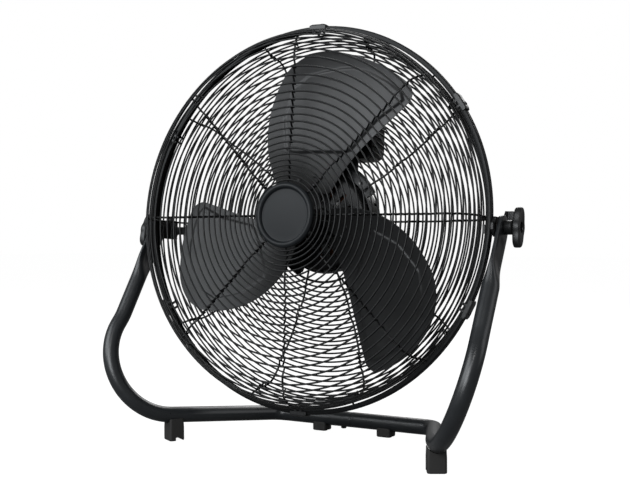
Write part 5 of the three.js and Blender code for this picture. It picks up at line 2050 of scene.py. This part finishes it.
@dataclass(frozen=True)
class Stand:
    """Two bent tubes that meet behind the fan, the screw at their seam, and four feet."""

    radius: float = 11.7
    wall: float = 1.3
    middle_x: float = 282.8
    knee: tuple[float, ...] = (283.0, -84.4, 184.5, 100.0)
    floor: tuple[float, ...] = (293.5, -199.6, 51.0, 90.0)
    run: tuple[float, ...] = (199.5, -31.3, 35.6, 250.0)
    rear: tuple[float, ...] = (135.0, 122.0, 20.0, 26.0)
    gap: float = 0.15
    flat_half: float = 3.0
    wide_half: float = 17.0
    tip: float = 16.0
    straight: float = 50.0
    blend: float = 42.0
    press: float = 1.1
    press_half: float = 7.0
    hollow: float = 44.0
    section: int = 56
    bolt_hole: float = 4.3
    seam_screw: float = -17.0
    foot_length: float = 23.5
    front_width: float = 26.0
    rear_width: float = 22.0
    front_forward: float = 7.0
    heel_rise: float = 5.0
    saddle: float = 4.5
    saddle_gap: float = 0.5
    rear_foot: float = 55.5

    @property
    def pivot(self) -> Vector:
        """The tilt axis where it passes the right-hand tube, in millimetres."""
        return Vector((self.middle_x, Frames.pivot.y / MM, Frames.pivot.z / MM))

    def corners(self) -> list[Corner]:
        """The knee, floor, run and rear corners of the tube's line, whose y counts from the tilt axis."""
        return [Corner(Vector((x, self.pivot.y + y, z)), radius)
                for x, y, z, radius in (self.knee, self.floor, self.run, self.rear)]

    def line(self) -> list[Vector]:
        """The centre line of the right-hand tube, from above the pivot to the seam."""
        knee, floor, run, rear = self.corners()
        up = (self.pivot - knee.at).normalized()
        top = Corner(self.pivot + up * self.tip)
        end = Corner(Vector((self.gap, rear.at.y, rear.at.z)))
        return rounded([top, knee, floor, run, rear, end], steps=28)

    def stations(self) -> list[tuple[Vector, float]]:
        """Points of the centre line with their lengths from the pivot, dense over the flat end."""
        line = self.line()
        along = lengths(line)
        total = along[-1]
        places = [self.tip * (1 - math.cos(math.radians(a))) for a in (2, 8, 16, 25, 34, 44, 54, 64, 74, 82)]
        place = self.tip
        while place < total - 2:
            places.append(place)
            near_pivot = place < self.tip + self.straight + self.blend
            place += 2.0 if near_pivot else 4.5
        places.append(total)
        return [(at_length(line, along, place), place - self.tip) for place in places]

    def tube_section(self, place: float) -> list[tuple[float, float]]:
        """The tube's outline at a length from the pivot, as (across X, sideways) pairs.

        Args:
            place: The length; it is negative above the pivot.

        Returns:
            The outline's points.
        """
        share = smooth(self.straight, self.straight + self.blend, place)
        thin = lerp(self.flat_half, self.radius, share)
        wide = lerp(self.wide_half, self.radius, share)
        if place < 0:
            wide = math.sqrt(max(0.2, self.tip**2 - place**2))
            thin *= 1 - 0.35 * (abs(place) / self.tip) ** 6
        elif place < 10:
            wide = lerp(self.tip, wide, smooth(0, 10, place))
        power = lerp(0.36, 1.0, share)
        points = []
        for k in range(self.section):
            angle = TURN * (k + 0.5) / self.section
            across = math.copysign(abs(math.cos(angle)) ** power, math.cos(angle)) * thin
            sideways = math.copysign(abs(math.sin(angle)) ** lerp(0.8, 1.0, share), math.sin(angle)) * wide
            dent = self.press * (1 - share) * smooth(16, 26, place)
            dent *= 1 - smooth(self.press_half - 2.0, self.press_half + 2.0, abs(sideways))
            points.append((across - math.copysign(dent, across), sideways))
        return points

    def tube(self, side: Side) -> None:
        """Sweeps one tube, with its pressed end, its open seam end and its holes.

        Args:
            side: The side that it stands on.
        """
        stations = self.stations()
        across = Vector((1, 0, 0))
        rows: list[list[Vector]] = []
        for index, (point, place) in enumerate(stations):
            before = stations[max(0, index - 1)][0]
            after = stations[min(len(stations) - 1, index + 1)][0]
            along = (after - before).normalized()
            across = (across - along * across.dot(along)).normalized()
            sideways = along.cross(across)
            rows.append([point + across * a + sideways * b for a, b in self.tube_section(place)])
        end = stations[-1][0]
        inner = self.radius - self.wall

        def ring(x: float, radius: float) -> list[Vector]:
            """A ring of the last row's points about the seam's axis."""
            centre = Vector((0, end.y, end.z))
            arms = [Vector((0, p.y, p.z)) - centre for p in rows[-1]]
            return [centre + Vector((x, 0, 0)) + arm.normalized() * radius for arm in arms]

        mouth = [ring(self.gap + 0.7, self.radius), ring(self.gap + 0.2, self.radius - 0.15),
                 ring(self.gap, self.radius - 0.55), ring(self.gap, inner + 0.2), ring(self.gap + 0.3, inner),
                 ring(self.hollow, inner)]
        draft = Draft().loft(rows[:-1] + mouth)
        place = Frames.stand @ Matrix.Scale(side.value, 4, Vector((1, 0, 0)))
        thing = carrier(f"tube_{side.word}", draft.mesh("tube", place))
        cuts = [hole(self.bolt_hole, 32, self.pivot.yz, self.middle_x - 20, self.middle_x + 20, FACING_X)]
        if side is Side.LEFT:
            cuts.append(Draft().prism(circle(2.5, 24, -self.seam_screw, end.y), end.z - 20, end.z - 5))
        carved(thing, cuts, place)
        look = Look(Finishes.tube, Slot.FRAME, Body.STAND)
        hand_over(eased(thing, 0.0, angle=42), look, f"stand_tube_{side.word}")

    def foot(self, side: Side, name: str, centre: Vector, along: Vector, width: float) -> None:
        """Moulds a foot under the tube: a block with rounded edges, a saddle and a relieved sole.

        Args:
            side: The side that it stands on.
            name: front or rear.
            centre: The tube's centre line above it.
            along: The tube's direction there.
            width: The block's width across the tube.
        """
        level = Vector((along.x, along.y, 0)).normalized()
        turn = Matrix.Rotation(math.atan2(level.y, level.x), 4, "Z")
        top = centre.z - self.saddle
        half_length, half_width = self.foot_length / 2, width / 2
        rows = []
        for height, inset in ((0.0, 1.1), (0.4, 0.5), (1.2, 0.15), (2.4, 0.0), (top * 0.6, 0.0),
                              (top * 0.8, 0.3), (top - 0.6, 0.5), (top - 0.2, 0.8), (top, 1.2)):
            outline = loop(7, *((u * (half_length - inset), v * (half_width - inset), 3.6)
                                for u, v in ((-1, -1), (1, -1), (1, 1), (-1, 1))))
            rows.append([point + Vector((0, 0, height)) for point in outline])
        place = Matrix.Translation((centre.x, centre.y, 0)) @ turn
        block = Draft().loft(rows).moved(place)
        room = self.radius + self.saddle_gap
        saddle = turned(72, 1, (0, -40), (room, -40), (room, 40), (0, 40))
        aim = along.normalized().to_track_quat("Y", "Z").to_matrix().to_4x4()
        cuts = [saddle.moved(Matrix.Translation(centre) @ aim)]
        if name == "front":
            toe = half_length - 1.6
            relief = loop(5, (-2.5, -1), (-2.5, self.heel_rise, 0.8), (0.5, self.heel_rise, 2.0),
                          (toe, -0.01), (toe, -1))
            cuts.append(slab(relief, -30, 30).moved(place))
        else:
            cuts.append(Draft().block((-30, -2.6, -1), (30, 2.6, 2.2)).moved(place))
        mirror = Frames.stand @ Matrix.Scale(side.value, 4, Vector((1, 0, 0)))
        made(f"foot_{name}_{side.word}", block, mirror, Look(Finishes.rubber, Slot.RUBBER, Body.STAND),
             f"{name}_foot_{side.word}", bevel=0.5, cuts=cuts)

    def build(self) -> None:
        """Builds both sides, and the screw at the seam."""
        knee, floor, run, rear = self.corners()
        along = (run.at - floor.at).normalized()
        bend = floor.radius / math.tan(along.angle((knee.at - floor.at).normalized()) / 2)
        front_centre = floor.at + along * (bend + self.foot_length / 2 - self.front_forward)
        rear_centre = Vector((self.rear_foot, rear.at.y, rear.at.z))
        for side in Side:
            self.tube(side)
            self.foot(side, "front", front_centre, along, self.front_width)
            self.foot(side, "rear", rear_centre, Vector((1, 0, 0)), self.rear_width)
        self.screw(rear.at)
        dress(Finishes.steel, "seam_sleeve")

    def screw(self, rear: Vector) -> None:
        """Sets the screw that holds the left tube on the seam's sleeve.

        Args:
            rear: The rear corner, for its depth and height.
        """
        under = rear.z - self.radius - 0.3
        head = pan_head(4.2, 2.5)
        head.merge(turned(20, 1, (0, -6.5), (2.1, -6.5), (2.1, 0.3), (0, 0.3)).moved(TURNED_TO_Z))
        spot = Vector((self.seam_screw, rear.y, under))
        fastened("seam_screw_head", head, [(spot, Euler((math.pi, 0, 0)))],
                 Look(Finishes.dark_steel, Slot.STEEL, Body.STAND), "seam_screw", place=Frames.stand,
                 cuts=cross_recess(4.2, 2.5))


# ------------------------------------------------------------------ floor, light and camera


@dataclass(frozen=True)
class Lamp:
    """An area lamp that looks at the fan from a distance."""

    name: str
    azimuth: float
    elevation: float
    distance: float
    size: tuple[float, float]
    radiance: float
    colour: tuple[float, float, float] = (1.0, 1.0, 1.0)

    def build(self, target: Vector) -> None:
        """Adds the lamp.

        Args:
            target: The point in metres that it looks at.
        """
        light = bpy.data.lights.new(self.name, "AREA")
        light.shape = "RECTANGLE"
        light.size, light.size_y = self.size
        light.energy = self.radiance * self.size[0] * self.size[1] * math.pi
        light.color = self.colour
        lamp = bpy.data.objects.new(self.name, light)
        bpy.context.scene.collection.objects.link(lamp)
        azimuth, elevation = math.radians(self.azimuth), math.radians(self.elevation)
        away = Vector((math.sin(azimuth) * math.cos(elevation), -math.cos(azimuth) * math.cos(elevation),
                       math.sin(elevation)))
        lamp.location = target + away * self.distance
        lamp.rotation_euler = away.to_track_quat("Z", "Y").to_euler()


@dataclass(frozen=True)
class Studio:
    """A white room with a large soft lamp on the left, and the camera."""

    lens: float = 56.82
    place: tuple[float, float, float] = (0.7110, -1.2388, 0.3057)
    yaw: float = 0.5203
    pitch: float = 0.0151
    roll: float = 0.0034
    target: tuple[float, float, float] = (0.0, 0.0, 0.33)
    floor_half: float = 12.0
    ambient: float = 0.30
    mirrored: float = 0.20
    lamps: tuple[Lamp, ...] = (
        Lamp("softbox_left", -36, 26, 2.6, (1.9, 1.6), 4.4, (0.93, 0.97, 1.0)),
        Lamp("softbox_front", 2, 14, 2.6, (1.3, 1.3), 7.5, (0.94, 0.97, 1.0)),
        Lamp("key_front", 22, 38, 2.8, (0.3, 0.3), 22.0),
        Lamp("fill_right", 105, 18, 2.6, (1.2, 1.6), 1.1, (0.96, 0.97, 1.0)),
        Lamp("back_light", 188, 32, 2.6, (1.8, 1.2), 3.6),
    )

    def build(self) -> None:
        """Sets up the view, the world, the floor, the lamps and the camera."""
        bpy.context.scene.view_settings.view_transform = "Standard"
        self.world()
        self.floor()
        for lamp in self.lamps:
            lamp.build(Vector(self.target))
        self.camera()

    @staticmethod
    def seen(graph: NodeGraph) -> tuple[Number, Number]:
        """Whether a ray comes from the camera or through glass, and whether it is a reflection."""
        path = graph.node("ShaderNodeLightPath")
        direct = graph.maths("MAXIMUM", graph.number(path, "Is Camera Ray"),
                             graph.number(path, "Is Transmission Ray"))
        return direct, graph.number(path, "Is Glossy Ray")

    def world(self) -> None:
        """Makes the world: white to the camera, dimmer in reflections and as light."""
        world = bpy.data.worlds.new("studio")
        bpy.context.scene.world = world
        world.use_nodes = True
        graph = NodeGraph(world.node_tree)
        graph.tree.nodes.clear()
        direct, glossy = self.seen(graph)
        dim = self.ambient + glossy * (self.mirrored - self.ambient)
        strength = dim + direct * (1.0 - dim)
        background = graph.node("ShaderNodeBackground", inputs={"Color": (1, 1, 1, 1), "Strength": strength})
        graph.node("ShaderNodeOutputWorld", inputs={"Surface": background.outputs["Background"]})

    def floor(self) -> None:
        """Lays the pale floor, which the camera sees as white outside the object's shadow."""
        graph = MaterialGraph("studio_floor")
        direct, _ = self.seen(graph)
        grain = graph.noise(240, 2)
        tone = graph.mixed(grain, (0.17, 0.17, 0.17), (0.19, 0.19, 0.19))
        matt = graph.node("ShaderNodeBsdfDiffuse", inputs={"Color": tone})
        glow = graph.node("ShaderNodeEmission", inputs={"Color": (1, 1, 1, 1), "Strength": direct * 0.94})
        both = graph.node("ShaderNodeAddShader", inputs={"Shader": matt.outputs["BSDF"],
                                                         "Shader_001": glow.outputs["Emission"]})
        graph.node("ShaderNodeOutputMaterial", inputs={"Surface": both.outputs["Shader"]})
        half = self.floor_half
        mesh = bpy.data.meshes.new("studio_floor")
        corners = [(-half, -half, 0), (half, -half, 0), (half, half, 0), (-half, half, 0)]
        mesh.from_pydata(corners, [], [(0, 1, 2, 3)])
        mesh.materials.append(graph.material)
        ground = bpy.data.objects.new("studio_floor", mesh)
        bpy.context.scene.collection.objects.link(ground)

    def camera(self) -> None:
        """Stands the camera where the fan is seen from, level to within a degree."""
        ahead = Vector((-math.sin(self.yaw) * math.cos(self.pitch), math.cos(self.yaw) * math.cos(self.pitch),
                        -math.sin(self.pitch)))
        right = Vector((math.cos(self.yaw), math.sin(self.yaw), 0))
        down = ahead.cross(right)
        cos_roll, sin_roll = math.cos(self.roll), math.sin(self.roll)
        rolled = cos_roll * right + sin_roll * down
        down = -sin_roll * right + cos_roll * down
        data = bpy.data.cameras.new("camera")
        data.lens = self.lens
        data.sensor_width = 36.0
        data.clip_start, data.clip_end = 0.05, 60.0
        camera = bpy.data.objects.new("camera", data)
        bpy.context.scene.collection.objects.link(camera)
        turn = Matrix((rolled, -down, -ahead)).transposed().to_4x4()
        camera.matrix_world = Matrix.Translation(self.place) @ turn
        bpy.context.scene.camera = camera


# ------------------------------------------------------------------ everything in order


# Corners (reach, bulge, rounding) of each guard's profile, and (ring, pitch) pairs along it.
FRONT_PROFILE = ((42, 57), (82, 57.7, 200), (225.7, 54, 27.6), (250, 49.6, 7), (266.3, 28.5, 42.7),
                 (265.8, 9))
FRONT_PITCHES = ((1, 6.8), (2, 6.4), (9, 9.1), (18, 11.9), (19, 13.0), (22, 7.4), (24, 8.15), (27, 8.3))
REAR_PROFILE = ((88, 52), (103.3, 62.7, 52), (173, 63.3, 212), (227.7, 54.1, 34), (252.5, 46.7, 19),
                (264.9, 5))
REAR_PITCHES = ((1, 8.7), (3, 7.4), (14, 5.55), (22, 7.3), (26, 7.1), (30, 8.35))


def main() -> None:
    """Builds the fan around the frame, then the studio."""
    logging.basicConfig(level=logging.INFO, format="%(name)s: %(message)s")
    Studio().build()
    Stand().build()
    GuardRim().build()
    WireGuard("front_guard_wires", -1, FRONT_PROFILE, FRONT_PITCHES, spokes=8, spoke_start=36.0,
              first_spoke=90.0).build()
    WireGuard("rear_guard_wires", 1, REAR_PROFILE, REAR_PITCHES, spokes=10, spoke_start=75.0,
              first_spoke=72.0).build()
    FrontCap().build()
    MotorUnit().build()
    ControlBox().build()
    FanWheel().build()
    TiltPivot(Side.LEFT, 72.0, Body.LEFT_KNOB).build()
    TiltPivot(Side.RIGHT, 84.0, Body.RIGHT_KNOB).build()


if __name__ == "__main__":
    main()
